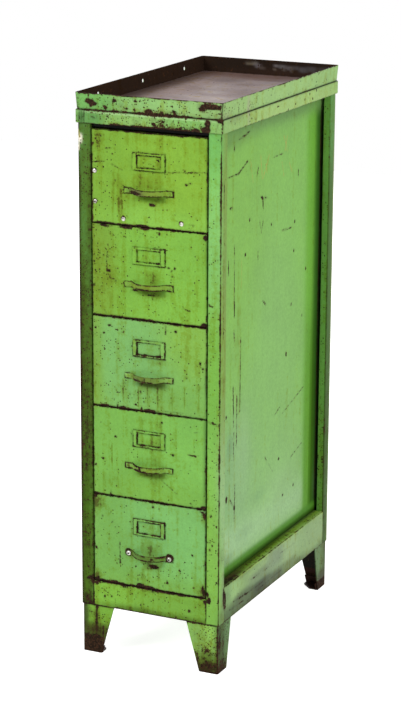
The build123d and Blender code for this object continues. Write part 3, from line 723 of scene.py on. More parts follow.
def makeFront(number, look):
    # panSkin with the rim's quarter round, the folded edge and the sheet's thickness; the face sinks by
    # dent * (1 + sin * sin) / 2, faded to nothing at the label, the pull and the edges
    low, high = boxOf(f"drawer_front_{number}")
    edge, sheet, depth = drawers["edge"], drawers["sheet"], high[1] - low[1]
    side, tall = high[0], high[2] - low[2]
    across = spread(low[0] + edge, high[0] - edge, drawers["pitch"])
    up = spread(low[2] + edge, high[2] - edge, drawers["pitch"])
    rim = [(edge * sin(t), edge * (1 - cos(t))) for t in np.linspace(0, pi / 2, 6)[1:]]
    inner = edge - sheet
    rim += [(edge, depth / 2), (edge, depth), (inner, depth), (inner, depth / 2), (inner, sheet)]
    points, quads = panSkin(across, up, rim)
    x, z, back = points.T
    fade = 1.0
    inFromEdge = np.minimum(side - np.abs(x), np.minimum(z - low[2], high[2] - z))
    for off, (flat, run) in ((inFromEdge, drawers["margin"]), (np.abs(x), drawers["middle"])):
        fade = fade * np.clip((off - flat) / run, 0, 1)
    waveX, waveZ = drawers["dentWaves"]
    dent = drawers["dent"] * (1 + np.sin(x / waveX + number) * np.sin(z / waveZ + 2 * number)) / 2
    place = np.column_stack([x, low[1] + back + fade * dent, z])

    label, pull = boxOf(f"label_holder_{number}"), boxOf(f"pull_{number}")
    labelFoot, labelTop, pullFoot, pullTop = (corner[2] - low[2] for corner in (*label, *pull))
    labelZ = (labelFoot + labelTop) / 2
    windowX, windowZ = drawers["labelWindow"]
    # rust and painted shadow: round the card frame at its foot and right, thicker inside its window at the
    # foot, left and top, where the frame's inner edge throws shade, and round the pull's tabs
    frames = [
        (label[0][0], label[1][0], labelFoot, labelTop, (0.5, 0.1, 0.5, -0.4)),
        (-windowX, windowX, labelZ - windowZ, labelZ + windowZ, (0.9, 1.1, 0.2, 0.9)),
    ]
    for middle in (-drawers["tabMiddle"], drawers["tabMiddle"]):
        left, right = middle - drawers["tabHalf"], middle + drawers["tabHalf"]
        frames.append((left, right, pullFoot, pullTop, (0.6, 0.3, 0.3, 0.0)))
    marks = dict(look)
    marks["cuts"] = list(look["cuts"])
    for *box, halfWidths in frames:
        marks["cuts"] += outlined(*box, [each - look.get("fainter", 0.0) for each in halfWidths])
    # painted shade: near black bands in the gaps beside the front and under its lower edge
    gaps = zip(seamShades, look.get("gaps", ()))
    marks["tones"] = [(middle, 92, reach, 100, tone) for (middle, tone), reach in gaps]
    marks["tones"] += [(0, -1.2, 400, 2.6, (8, 10, 3)), *look["tones"]]
    marks["edges"] = [
        ("a", -side, 0, tall, 0.6), ("a", side, 0, tall, -0.2), ("b", 0, -side, side, 1.6),
        ("b", 0, -side, 10, 2.5), ("b", tall, -side, side, 0.8), *look.get("edges", ()),
    ]
    # the height of the painted shadow below the pull, and of the stain there
    under = pullFoot - 4
    marks["stains"] = [
        (0, 92, 200, 160, look["film"]), (0, under, 36, 7, 0.3 if "under" in look else 0.55),
        (0, labelZ, 26, 13, 0.25), *look["stains"],
    ]
    # painted shadow: a darker band of the given colour just below the pull
    if "under" in look:
        marks["shades"] = [(4, under - 1, 35, 9, look["under"])]
    skin = (place, outward(place, quads))
    dressOnDrawer(f"front_{number}", [skin], f"drawer_front_{number}", number, marks)


def frameLoop(halfX, halfZ, a, b, radius, samples=14):
    # one loop about the window, of half sizes a and b: every loop samples its sides at the same shares of the
    # holder's own half sizes, so that the outline can turn into the window's edge
    corner, share = drawers["labelCorner"], np.array([0.3, 0.7, 1.0])

    def side(half):
        # from -1 to 1, with three places of its own round each corner
        ends = 1 - corner * share[::-1] / half
        return np.concatenate([[-1], -ends[::-1], np.linspace(-ends[0], ends[0], samples)[1:-1], ends])

    sideA, sideB = side(halfX) * a, side(halfZ) * b
    loop = np.concatenate([
        np.column_stack([sideA, np.full(len(sideA), -b)]), np.column_stack([np.full(len(sideB), a), sideB]),
        np.column_stack([-sideA, np.full(len(sideA), b)]), np.column_stack([np.full(len(sideB), -a), -sideB]),
    ])
    return np.column_stack(roundCorners(loop[:, 0], loop[:, 1], a, b, radius)) if radius else loop


def cardFrame(number, look):
    # loops from the back up the sides, round the soft front edge, in over the face to the window and back
    # again
    low, high = boxOf(f"label_holder_{number}")
    middle = (low + high) / 2
    halfX, halfZ = (high[0] - low[0]) / 2, (high[2] - low[2]) / 2
    bead, soft, corner = drawers["labelBead"], drawers["labelSoft"], drawers["labelCorner"]
    deep = high[1] - low[1] - bead
    windowX, windowZ = drawers["labelWindow"]
    loops = [(frameLoop(halfX, halfZ, halfX, halfZ, corner), y) for y in (0.0, soft - deep)]
    for t in (pi / 6, pi / 3, pi / 2):
        inset = soft * (1 - cos(t))
        loop = frameLoop(halfX, halfZ, halfX - inset, halfZ - inset, corner - inset)
        loops.append((loop, soft - deep - soft * sin(t)))
    edge = loops[-1][0]
    window = frameLoop(halfX, halfZ, windowX, windowZ, 0)
    for t in (0.25, 0.5, 0.75, 0.95, 1.0):
        loops.append((edge * (1 - t) + window * t, -deep + (0.3 if t == 1 else 0.0)))
    loops.append((window, 0.0))
    places = [(loop[:, 0], np.full(len(loop), high[1] + y), middle[2] + loop[:, 1]) for loop, y in loops]
    grid = np.stack([np.column_stack(place) for place in places])
    # the bead: a round bar along the lower edge with domed ends
    dome = bead * np.cos(np.linspace(0.15, pi / 2, 5))
    beadX = np.concatenate([-windowX - dome, spread(-windowX, windowX, 3.0)[1:-1], windowX + dome[::-1]])
    beadX = np.clip(beadX, -windowX - bead * 0.98, windowX + bead * 0.98)
    past = np.maximum(np.abs(beadX) - windowX, 0)[:, None]
    radius = bead * np.sqrt(np.clip(1 - (past / bead) ** 2, 0.02, 1))
    turn = np.linspace(0, 2 * pi, 16, endpoint=False)
    bar = np.empty((len(beadX), len(turn), 3))
    bar[..., 0] = beadX[:, None]
    bar[..., 1] = high[1] - deep + radius * np.cos(turn)
    bar[..., 2] = (low[2] + middle[2] - windowZ) / 2 + radius * np.sin(turn)
    foot, sides = look.get("labelRust", 0.6), look.get("labelSides", 0.3)
    wear = {
        "base": look["base"], "pock": 0.08, "stains": [(0, halfZ, 60, 40, 0.2)],
        "edges": [
            ("b", 0, -halfX, halfX, foot), ("b", 2 * halfZ, -halfX, halfX, sides - 0.2),
            ("a", -halfX, 0, 40, sides), ("a", halfX, 0, 40, sides - 0.6),
            ("b", 5, -windowX, windowX, foot - 0.3), ("b", 2 * halfZ - 5, -windowX, windowX, sides),
            ("a", -windowX, 5, 34, sides), ("a", windowX, 5, 34, sides - 0.5),
        ],
    }
    skins = [ringSkin(grid[:, ::-1], True), ringSkin(bar)]
    dressOnDrawer(f"card_frame_{number}", skins, f"label_holder_{number}", number, wear)


def bowPull(number, look):
    # Plan: tab, root arc, bow arc, root arc, tab, where every point leans by its arc's angle. Section: a
    # strap whose thickness falls as a quarter circle in its last bit, and whose height falls as a circle
    # towards round ends.
    low, high = boxOf(f"pull_{number}")
    side, tall = high[0], (high[2] - low[2]) / 2
    strap, soft = drawers["strap"], drawers["strapSoft"]
    bow, root = drawers["bowRadius"], drawers["rootRadius"]
    flat = high[1] - strap / 2
    rise = high[1] - low[1] - strap
    tabEnd = side - drawers["tab"]
    lean = np.arcsin(tabEnd / (bow + root))
    endRound = tall - 0.1 if number == 5 else 1.0
    bowAngle = np.linspace(0, lean, 16)
    rootAngle = np.linspace(lean, 0, 7)[1:]
    endX = side - endRound * np.array([0.7, 0.4, 0.2, 0.08, 0.02, 0.0])
    tabX = np.concatenate([np.linspace(tabEnd, side - endRound, 7)[1:], endX])
    x = np.concatenate([bow * np.sin(bowAngle), tabEnd - root * np.sin(rootAngle), tabX])
    bowY, rootY = flat - rise + bow - bow * np.cos(bowAngle), flat - root + root * np.cos(rootAngle)
    y = np.concatenate([bowY, rootY, np.full(len(tabX), flat)])
    angle = np.concatenate([bowAngle, rootAngle, np.zeros(len(tabX))])
    mirrored = ((x, -1), (y, 1), (angle, -1))
    x, y, angle = (np.concatenate([sign * part[:0:-1], part]) for part, sign in mirrored)
    fromEnd = np.clip((endRound - (side - np.abs(x))) / endRound, 0, 1)
    height = tall - endRound + endRound * np.sqrt(np.clip(1 - fromEnd**2, 0.003, 1))
    share = np.concatenate([[-1, -0.97, -0.9], np.linspace(-0.8, 0.8, 8), [0.9, 0.97, 1]])
    over = np.clip((np.abs(share) * tall - (tall - soft)) / soft, 0, 1)
    thick = strap / 2 * np.sqrt(1 - 0.98 * over**2)
    z = np.concatenate([share, share[::-1]])[None, :] * height[:, None]
    out = np.concatenate([thick, -thick[::-1]])[None, :]
    x, y, angle = x[:, None], y[:, None], angle[:, None]
    grid = np.stack([x + out * np.sin(angle), y - out * np.cos(angle), (low[2] + high[2]) / 2 + z], -1)
    wear = {
        "base": look["base"], "pock": 0.08,
        "cuts": look.get("pullCuts", ()), "rust": look.get("pullRust", ()),
        "tones": look.get("pullTones", [(0, 6, 30, 8, (120, 146, 54))]),
        "edges": [
            ("b", 0, -side, side, 1.3), ("b", 2 * tall, -side, side, 0.9), ("a", -side, 0, 12, 1.0),
            ("a", side, 0, 12, 1.2),
        ],
        "stains": [(-36, 6, 6, 8, 0.5), (36, 6, 6, 8, 0.3), (0, 6, 30, 8, 0.12)],
    }
    dressOnDrawer(f"bow_pull_{number}", [ringSkin(grid)], f"pull_{number}", number, wear)


for number, look in fronts.items():
    makeFront(number, look)
    cardFrame(number, look)
    bowPull(number, look)
    print("drawer", number, "dressed")

# ---- corner posts

posts = {
    "flange": 28.0, "sheet": 2.0, "fold": 15.0, "lip": 8.0, "bend": 2.0, "pitch": 2.2, "rise": 3.5,
    "returnsFrom": 155.7,
    "hidden": {"front": 20.0, "rear": 5.0},  # past this depth from its face a post's fold is seen from inside
}
# a runs from -28 at the drawers, over 0 at the outer corner, to 28 on the side; b is the height
postWearAndShade = {
    ("front", "right"): {
        "base": (130, 190, 86),
        "tones": [
            (-14, 1080, 30, 70, (116, 184, 94)), (-14, 900, 30, 110, (134, 196, 108)),
            (-14, 640, 30, 90, (120, 178, 72)), (-14, 200, 30, 120, (130, 184, 78)),
            (19, 980, 15, 260, (122, 140, 62)), (19, 640, 15, 160, (126, 150, 74)),
            (19, 340, 15, 150, (150, 186, 132)), (22, 160, 12, 50, (108, 128, 86)),
            (12, 118, 12, 16, (84, 100, 62)), (12, 250, 10, 16, (112, 134, 84)),
        ],
        # the first, second and fourth are painted shade: in the joint above the leg, beside the rail and in
        # the gap beside the top drawer; the third is a dark line down the outer corner
        "shades": [
            (-14, 104.6, 15, 1.8, (34, 38, 14)), (-28, 130, 0.9, 27, (48, 58, 20)),
            (0, 260, 1.3, 160, (48, 62, 26)), (-28, 1008, 1.4, 90, (26, 32, 12)),
        ],
        "rust": [
            (24, 157, 4, 20), (-18, 338, 3, 4), (-22, 158, 5, 7), (-25, 170, 3, 8), (-12, 319, 2, 2),
            (-20, 267, 2, 3),
        ],
        "cuts": [
            (-27, 533, -2, 527, 1.9), (-27, 770, -18, 767, 1.9), (-20, 285, -8, 284, 0.4),
            (12, 1015, 14, 700, 0.0),
        ],
        "edges": [
            ("a", 0, 430, 1108, 1.7), ("a", 0, 105, 430, 1.1), ("a", -28, 105, 1135, 0.2),
            ("a", 28, 105, 1135, 0.6), ("b", 105, -28, 28, 1.4),
        ],
        "stains": [(19, 900, 10, 300, 0.3), (-14, 600, 30, 700, 0.05)],
        "pocks": [(16, 250, 14, 200, 0.3), (16, 800, 14, 300, 0.25), (-14, 300, 20, 200, 0.1)], "pock": 0.12,
        "chipped": [(2, 500, 4, 500, -0.6), (24, 180, 8, 60, -0.6)],
    },
    ("front", "left"): {
        "base": (80, 118, 34),
        "tones": [
            (-16, 1070, 20, 50, (84, 126, 58)), (-18, 880, 12, 60, (84, 130, 58)),
            (-18, 330, 14, 120, (70, 110, 24)), (-14, 600, 14, 130, (72, 104, 30)),
            (-1, 600, 4, 700, (44, 46, 22)), (-24, 600, 6, 500, (80, 120, 42)),
        ],
        # the first two make a pale cream patch near the top; the last two are painted shade in the joints
        # above the leg and beside the rail
        "shades": [
            (-3, 1077, 7, 9, (246, 240, 218)), (-1, 1060, 3, 7, (240, 232, 206)),
            (-14, 104.6, 15, 2.2, (36, 34, 16)), (-28, 130, 0.9, 27, (40, 44, 18)),
        ],
        "edges": [
            ("a", 0, 105, 1046, 2.4), ("a", 0, 1096, 1135, 2.4), ("a", -28, 105, 1135, 1.0),
            ("b", 105, -28, 28, 1.6),
        ],
        "chipped": [
            (-2, 560, 6, 500, 0.6), (-14, 560, 18, 560, -0.9), (-24, 820, 8, 240, -0.9),
            (-14, 110, 20, 18, 0.4),
        ],
        "scuffs": [(-1, 1094, -4, 1080, 3.0), (0, 1060, 0, 1050, 1.5)],
        "rust": [(-25, 160, 3.4, 13), (-20, 165, 5, 4), (-14, 162, 3, 2)],
        "stains": [(-14, 600, 40, 900, 0.52), (-14, 112, 30, 20, 0.4), (-2, 1074, 8, 16, -0.9)],
        "pocks": [(-10, 560, 14, 300, 0.3)], "pock": 0.5,
    },
    ("rear", "right"): {
        "base": (68, 104, 40), "inside": (112, 168, 76),
        "tones": [
            (20, 1060, 20, 60, (92, 146, 74)), (1, 600, 4.5, 900, (134, 150, 100)),
            (18, 400, 12, 160, (60, 94, 34)),
        ],
        "edges": [("a", 0, 105, 1135, 1.2), ("a", 28, 105, 1135, 0.5), ("b", 105, -28, 28, 1.5)],
        "stains": [(20, 300, 20, 300, 0.2)], "pocks": [(12, 330, 20, 300, 0.4)], "pock": 0.2,
    },
    ("rear", "left"): {
        "base": (112, 156, 78), "edges": [("a", 0, 105, 1135, 1.2), ("b", 105, -28, 28, 1.5)],
        "stains": [(0, 300, 40, 300, 0.3)], "pock": 0.1,
    },
}


def cornerOf(end, side):
    # x and y of an outer corner of the body, and the way inward from it
    y, inY = (frontY, 1) if end == "front" else (rearY, -1)
    return bodySide[side] * half, y, -bodySide[side], inY


def cornerPlaces(end, side, places):
    # places measured in from a corner of the body to x and y
    x, y, inX, inY = cornerOf(end, side)
    return [(x + inX * across, y + inY * deep) for across, deep in places]


def cornerCoordinates(end, side):
    # a is the distance in along the side less the distance in along the front, b the height
    x, y, *_ = cornerOf(end, side)
    return lambda place: (np.abs(place[:, 1] - y) - np.abs(place[:, 0] - x), place[:, 2])


for (end, side), look in postWearAndShade.items():
    middle = posts["sheet"] / 2
    edge = posts["flange"] - middle
    upper = [(posts["fold"], edge), (middle, edge), (middle, middle), (edge, middle)]
    if end == "front":
        upper.append((edge, posts["lip"]))
    lower = [(middle, posts["flange"]), (middle, middle), (posts["flange"], middle)]
    skins = []
    for places, low, high in ((upper, posts["returnsFrom"], topZ), (lower, bottomZ, posts["returnsFrom"])):
        ring = sheetRing(cornerPlaces(end, side, places), posts["sheet"], posts["bend"], posts["pitch"])
        skins.append(ringSkin(alongAxis(ring, 2, spread(low, high, posts["rise"]))))
    face, hidden = cornerOf(end, side)[1], posts["hidden"][end]
    dressed(
        f"corner_post_{end}_{side}", skins, f"post_{end}_{side}", look, cornerCoordinates(end, side),
        lambda place: (half - np.abs(place[:, 0]) > 2.5) & (np.abs(place[:, 1] - face) > hidden),
    )
print("posts dressed")

# ---- side sheets and the back

panels = {
    "sheet": 1.2, "bend": 1.5, "inner": 132.3, "flange": 16.5, "pitch": 3.2, "rise": 4.2, "bottom": 155.7,
    "backPitch": 5.0,
}
# a runs to the rear on the right sheet and, as its mirror image, to the front on the left one; b is the
# height
sideWearAndShade = {
    "base": (128, 182, 88),
    "tones": [
        (-150, 900, 90, 300, (126, 178, 80)), (0, 500, 130, 200, (130, 180, 98)),
        (0, 290, 150, 110, (142, 186, 118)), (-150, 370, 70, 110, (136, 176, 124)),
        # painted shade: the tones at a of 226 to 275 darken towards the rear post and are near black in the
        # recess beside it; the two at b of 1092 and 1104 are the painted shadow under the band
        (226, 900, 18, 500, (104, 166, 50)), (232, 340, 24, 240, (88, 150, 30)),
        (258, 650, 15, 900, (28, 78, 4)), (256, 330, 20, 260, (16, 56, 1)), (275, 650, 11, 900, (5, 9, 1)),
        (272, 330, 11, 260, (3, 6, 0)), (-60, 244, 220, 34, (172, 206, 160)),
        (60, 1104, 300, 11, (78, 122, 50)), (-190, 1092, 70, 26, (84, 112, 62)),
        (-183, 456, 12, 20, (112, 148, 108)), (-34, 308, 30, 12, (116, 158, 106)),
        (-111, 248, 40, 12, (116, 152, 108)), (-200, 215, 30, 12, (112, 142, 100)),
        (-120, 420, 30, 80, (148, 184, 130)), (60, 300, 60, 30, (148, 186, 128)),
    ],
    "shades": [
        # painted shade, all of them: towards the rear post, along the foot above the ledge, and the shadow
        # under the band
        (222, 340, 19, 250, (94, 150, 44)), (241, 340, 8, 250, (66, 116, 14)),
        (251, 340, 6, 250, (48, 86, 8)), (20, 192.5, 900, 12, (80, 138, 40)), (20, 182, 900, 9, (50, 90, 12)),
        (20, 176, 900, 8, (32, 54, 6)), (-60, 1112, 900, 38, (106, 148, 78)),
    ],
    "rust": [
        (-199, 827, 2.5, 3), (-97, 905, 3, 3), (13, 876, 2.5, 2.5), (136, 859, 2.5, 3), (-117, 838, 3, 3),
        (123, 683, 3.5, 3), (183, 646, 2.5, 2.5), (133, 797, 2, 3), (199, 745, 2.5, 3), (118, 1066, 3, 2),
        (-33, 938, 6, 3), (67, 358, 3, 3), (100, 580, 3.5, 4), (91, 269, 4, 3.5), (149, 275, 3, 4),
        (-200, 346, 5, 7), (-161, 318, 5, 6), (-203, 521, 3, 3),
    ],
    "cuts": [
        (-215, 1008, -155, 1008, 0.9), (-155, 1008, -108, 1027, 1.6), (-153, 1076, -101, 1084, 0.9),
        (-174, 1065, -174, 1058, 1.8), (22, 1014, 68, 1014, 1.2), (-57, 1006, -63, 989, 1.4),
        (151, 966, 151, 953, 1.6), (-44, 943, -8, 935, 1.6), (-33, 938, -30, 914, 1.4),
        (-193, 946, -180, 944, 1.4), (-47, 893, -37, 867, 1.4), (-29, 891, -35, 876, 1.4),
        (69, 852, 117, 849, 0.8), (-54, 833, -53, 799, 0.9), (-199, 844, -197, 811, 1.2),
        (-170, 870, -168, 720, 0.9), (-29, 724, -10, 711, 1.4), (-169, 695, -167, 670, 1.2),
        (-136, 671, -137, 517, 1.1), (-152, 554, -152, 444, 1.2), (-171, 575, -167, 493, 1.1),
        (-158, 367, -161, 288, 1.4), (-181, 340, -161, 318, 1.2), (200, 484, 84, 454, 0.7),
        (68, 471, 43, 461, 0.8), (194, 359, 130, 342, 0.9), (-6, 381, 36, 339, 0.5),
        (-165, 480, -167, 420, 0.8),
    ],
    "scuffs": [
        (72, 1050, 92, 1014, 2.5), (90, 1048, 78, 1016, 2.2), (64, 996, 75, 966, 2.1),
        (102, 990, 117, 968, 2.1), (-95, 1024, -82, 978, 2.3), (-46, 1030, -36, 977, 2.2),
        (-1, 1023, -32, 980, 2.1), (-19, 1007, -14, 988, 2.3), (-135, 856, -131, 686, 1.2),
        (-140, 670, -138, 480, 1.4), (-156, 560, -154, 440, 1.3),
    ],
    "stains": [
        (-150, 900, 90, 260, 0.04), (-200, 300, 40, 160, 0.15), (-190, 1090, 90, 24, 0.2),
        (-140, 600, 24, 180, 0.2), (20, 600, 300, 600, -0.25),
    ],
    "pocks": [
        (-190, 350, 40, 160, 0.16), (-150, 950, 100, 100, 0.08), (140, 240, 60, 40, 0.12),
        (-190, 700, 30, 300, 0.1),
    ],
    "edges": [("b", 156, -281, 297, 1.2), ("a", -253, 155, 1135, 1.2), ("a", 272, 155, 1135, 1.4)],
    "drips": [
        (-100, 1090, 700, 6, 0.2), (-60, 1090, 560, 5, 0.15), (-150, 1000, 500, 5, 0.25),
        (-185, 700, 200, 5, 0.4), (-130, 700, 300, 6, 0.2),
    ],
    "pock": 0.02,
}
backWear = {
    "base": (118, 164, 80),
    "tones": [
        (-60, 900, 90, 200, (122, 170, 90)), (80, 400, 90, 220, (112, 158, 72)),
        (0, 190, 150, 50, (104, 138, 62)),
    ],
    "rust": [(-90, 300, 9, 14), (60, 760, 5, 8), (100, 1100, 14, 8), (-110, 980, 5, 5), (10, 170, 40, 4)],
    "cuts": [(-60, 700, 20, 560, 0.4), (40, 940, 90, 800, 0.3)],
    "scuffs": [(-20, 820, 70, 620, 0.8), (-90, 520, -70, 400, 0.9)],
    "drips": [(60, 750, 560, 5, 0.7), (-90, 290, 180, 7, 0.7), (100, 1090, 900, 6, 0.6)],
    "stains": [(0, 170, 140, 30, 0.6)],
    "edges": [("b", 156, -133, 133, 1.6), ("a", -127, 155, 1135, 0.8), ("a", 127, 155, 1135, 0.8)],
    "pock": 0.05,
}
for side, way in bodySide.items():
    web = way * (panels["inner"] + panels["sheet"] / 2)
    tip = way * (panels["inner"] + panels["flange"])
    inset = posts["sheet"] + panels["sheet"] / 2
    corners = [(tip, frontY + inset), (web, frontY + inset), (web, rearY - inset), (tip, rearY - inset)]
    ring = sheetRing(corners, panels["sheet"], panels["bend"], panels["pitch"])
    dressed(
        f"side_sheet_{side}", [ringSkin(alongAxis(ring, 2, spread(panels["bottom"], topZ, panels["rise"])))],
        f"side_panel_{side}", sideWearAndShade,
        lambda place: (place[:, 1] if side == "right" else frontY + rearY - place[:, 1], place[:, 2]),
    )
low, high = boxOf("back_panel")
middle = (low[1] + high[1]) / 2
pitch = panels["backPitch"]
ring = sheetRing([(low[0], middle), (high[0], middle)], high[1] - low[1], panels["bend"], pitch)
skin = ringSkin(alongAxis(ring, 2, spread(low[2], high[2], pitch)))
dressed("back_sheet", [skin], "back_panel", backWear, acrossUp)
print("side and back sheets dressed")

# ---- rails

rails = {
    "sheet": 2.0, "bend": 2.0, "pitch": 2.5, "lower": 20.0, "ledge": 22.0, "shoulder": 177.0,
    "ledgeShort": 8.0, "lipHalf": 82.0, "lipIn": 66.0,  # the lips end clear of the legs
}
# b is the height; a runs across on the front and rear rails, and to the rear on the side rails
railWearAndShade = {
    "front": {
        "base": (130, 186, 70), "tones": [(40, 106, 90, 8, (74, 104, 34)), (60, 130, 60, 20, (118, 168, 66))],
        # painted shade along the joint at the rail's foot, over a tone that darkens it there
        "shades": [(0, 104.8, 140, 1.8, (34, 40, 14))],
        "edges": [
            ("b", 105, -130, 130, 1.5), ("b", 159, -130, 130, 1.6), ("a", -127, 105, 159, 1.4),
            ("a", 127, 105, 159, 1.0),
        ],
        "rust": [
            (124, 153, 4, 6), (-122, 155, 5, 4), (-112, 157, 6, 2), (-102, 128, 2.5, 3.5), (-86, 130, 2, 2),
            (90, 128, 2.5, 2.5),
        ],
        "stains": [
            (0, 150, 130, 10, 0.3), (0, 110, 130, 8, 0.4), (-110, 130, 30, 40, 0.1), (-50, 130, 60, 20, 0.1),
        ],
        "pocks": [(-50, 130, 60, 24, 0.2)], "chipped": [(-30, 156, 90, 5, -0.3), (-60, 107, 80, 4, -0.3)],
        "pock": 0.16,
    },
    "side": {
        "base": (136, 168, 106),
        # the first seven make the web darker towards its foot and paler above; the next two darken the front
        # of the ledge; the last is painted shade in the ledge's inner corner, by the side sheet
        "shades": [
            (-75, 121, 62, 16, (66, 75, 52)), (-156, 122, 50, 19, (88, 106, 72)),
            (5, 116, 50, 16, (90, 104, 76)), (85, 118, 40, 14, (118, 140, 92)),
            (-75, 150, 60, 12, (122, 144, 104)), (6, 158, 44, 24, (132, 154, 118)),
            (210, 140, 60, 34, (146, 176, 120)), (-236, 196, 40, 14, (44, 36, 18)),
            (-180, 196, 34, 11, (74, 72, 32)), (-40, 200, 120, 7, (70, 96, 20)),
        ],
        "tones": [
            (-226, 165, 30, 26, (150, 188, 122)), (110, 150, 130, 24, (158, 187, 134)),
            (-60, 125, 60, 14, (112, 138, 108)), (-20, 108, 260, 9, (74, 96, 62)),
            (-150, 122, 110, 12, (84, 106, 68)), (-236, 160, 14, 20, (96, 128, 80)),
            (180, 150, 60, 24, (130, 166, 104)), (20, 183, 400, 4, (164, 202, 100)),
            (20, 191, 400, 6, (134, 174, 46)), (-190, 190, 80, 9, (62, 62, 26)),
            # the tone at b of 203 is painted shade in the ledge's inner corner
            (-240, 194, 40, 9, (40, 32, 16)), (60, 203, 400, 5, (40, 64, 8)),
            (-200, 116, 60, 14, (78, 100, 60)), (-100, 110, 140, 9, (78, 98, 62)),
        ],
        "edges": [("b", 105, -260, 275, 1.2), ("b", 181, -260, 275, 1.0)],
        "chipped": [
            (20, 192, 400, 12, -0.8), (-200, 192, 60, 12, 0.6), (-80, 192, 60, 10, -0.1),
            (190, 196, 60, 8, -0.1), (-160, 110, 90, 6, -1.4), (-40, 107, 120, 4, -0.6),
        ],
        "stains": [
            (20, 191, 400, 9, 0.12), (-200, 140, 60, 40, -0.2), (-60, 110, 250, 7, 0.3),
            (60, 150, 260, 20, -0.2),
        ],
        "cuts": [
            (-120, 152, -30, 150, 0.5), (-180, 130, -60, 127, 0.5), (-90, 118, 40, 120, 0.6),
            (30, 160, 110, 158, 0.3), (-230, 122, -160, 119, 0.8), (-210, 134, -150, 131, 0.6),
        ],
        "rust": [(-251, 150, 5, 18)], "pocks": [(-215, 140, 40, 30, 0.2), (20, 190, 400, 9, 0.6)],
        "pock": 0.1,
    },
    "rear": {
        "base": (112, 154, 76), "edges": [("b", 105, -130, 130, 2.0), ("b", 180, -130, 130, 0.8)],
        "pock": 0.08,
    },
}


def dressRail(name, node, look, coordinates, axis, face, inward, ledge, pitches, lipEnds):
    # The web's middle line stands half a sheet inside the face, with the ledge folded over at its top; a
    # separate lip lies along its foot. The pitches are the web's and the lip's along the rail and the lip's
    # across it.
    low, high = boxOf(node)
    sheet = rails["sheet"]
    middle, top = face + inward * sheet / 2, high[2] - sheet / 2
    web = [(middle, high[2])] if ledge is None else [(ledge, top), (middle, top)]
    web.append((middle, low[2]))
    lip = [(face + inward * reach, low[2] + sheet / 2) for reach in (sheet, rails["lower"])]
    webEnds = (low[axis], high[axis])
    sections = ((web, rails["pitch"], webEnds, pitches[0]), (lip, pitches[2], lipEnds, pitches[1]))
    skins = [
        ringSkin(alongAxis(sheetRing(line, sheet, rails["bend"], across), axis, spread(*ends, along)))
        for line, across, ends, along in sections
    ]
    dressed(name, skins, node, look, coordinates)


def overLedge(place):
    # a runs to the rear; b is the height, and on the ledge the way in from the face is added to it
    onLedge = place[:, 2] > rails["shoulder"]
    return place[:, 1], place[:, 2] + (half - np.abs(place[:, 0])) * onLedge


frontBox, rearBox = boxOf("front_rail"), boxOf("rear_rail")
between = (-rails["lipHalf"], rails["lipHalf"])
dressRail(
    "lower_rail_front", "front_rail", railWearAndShade["front"], acrossUp, 0, frontBox[0][1], 1,
    frontBox[1][1] - rails["ledgeShort"], (2.5, 4.0, 2.5), between,
)
dressRail(
    "lower_rail_rear", "rear_rail", railWearAndShade["rear"], acrossUp, 0, rearBox[1][1], -1,
    None, (3.0, 5.0, 2.5), between,
)
for side, way in bodySide.items():
    dressRail(
        f"lower_rail_{side}", f"side_rail_{side}", railWearAndShade["side"], overLedge, 1, way * half, -way,
        way * (half - rails["ledge"]), (3.5, 6.0, 3.0), (frontY + rails["lipIn"], rearY - rails["lipIn"]),
    )
print("rails dressed")

# ---- legs

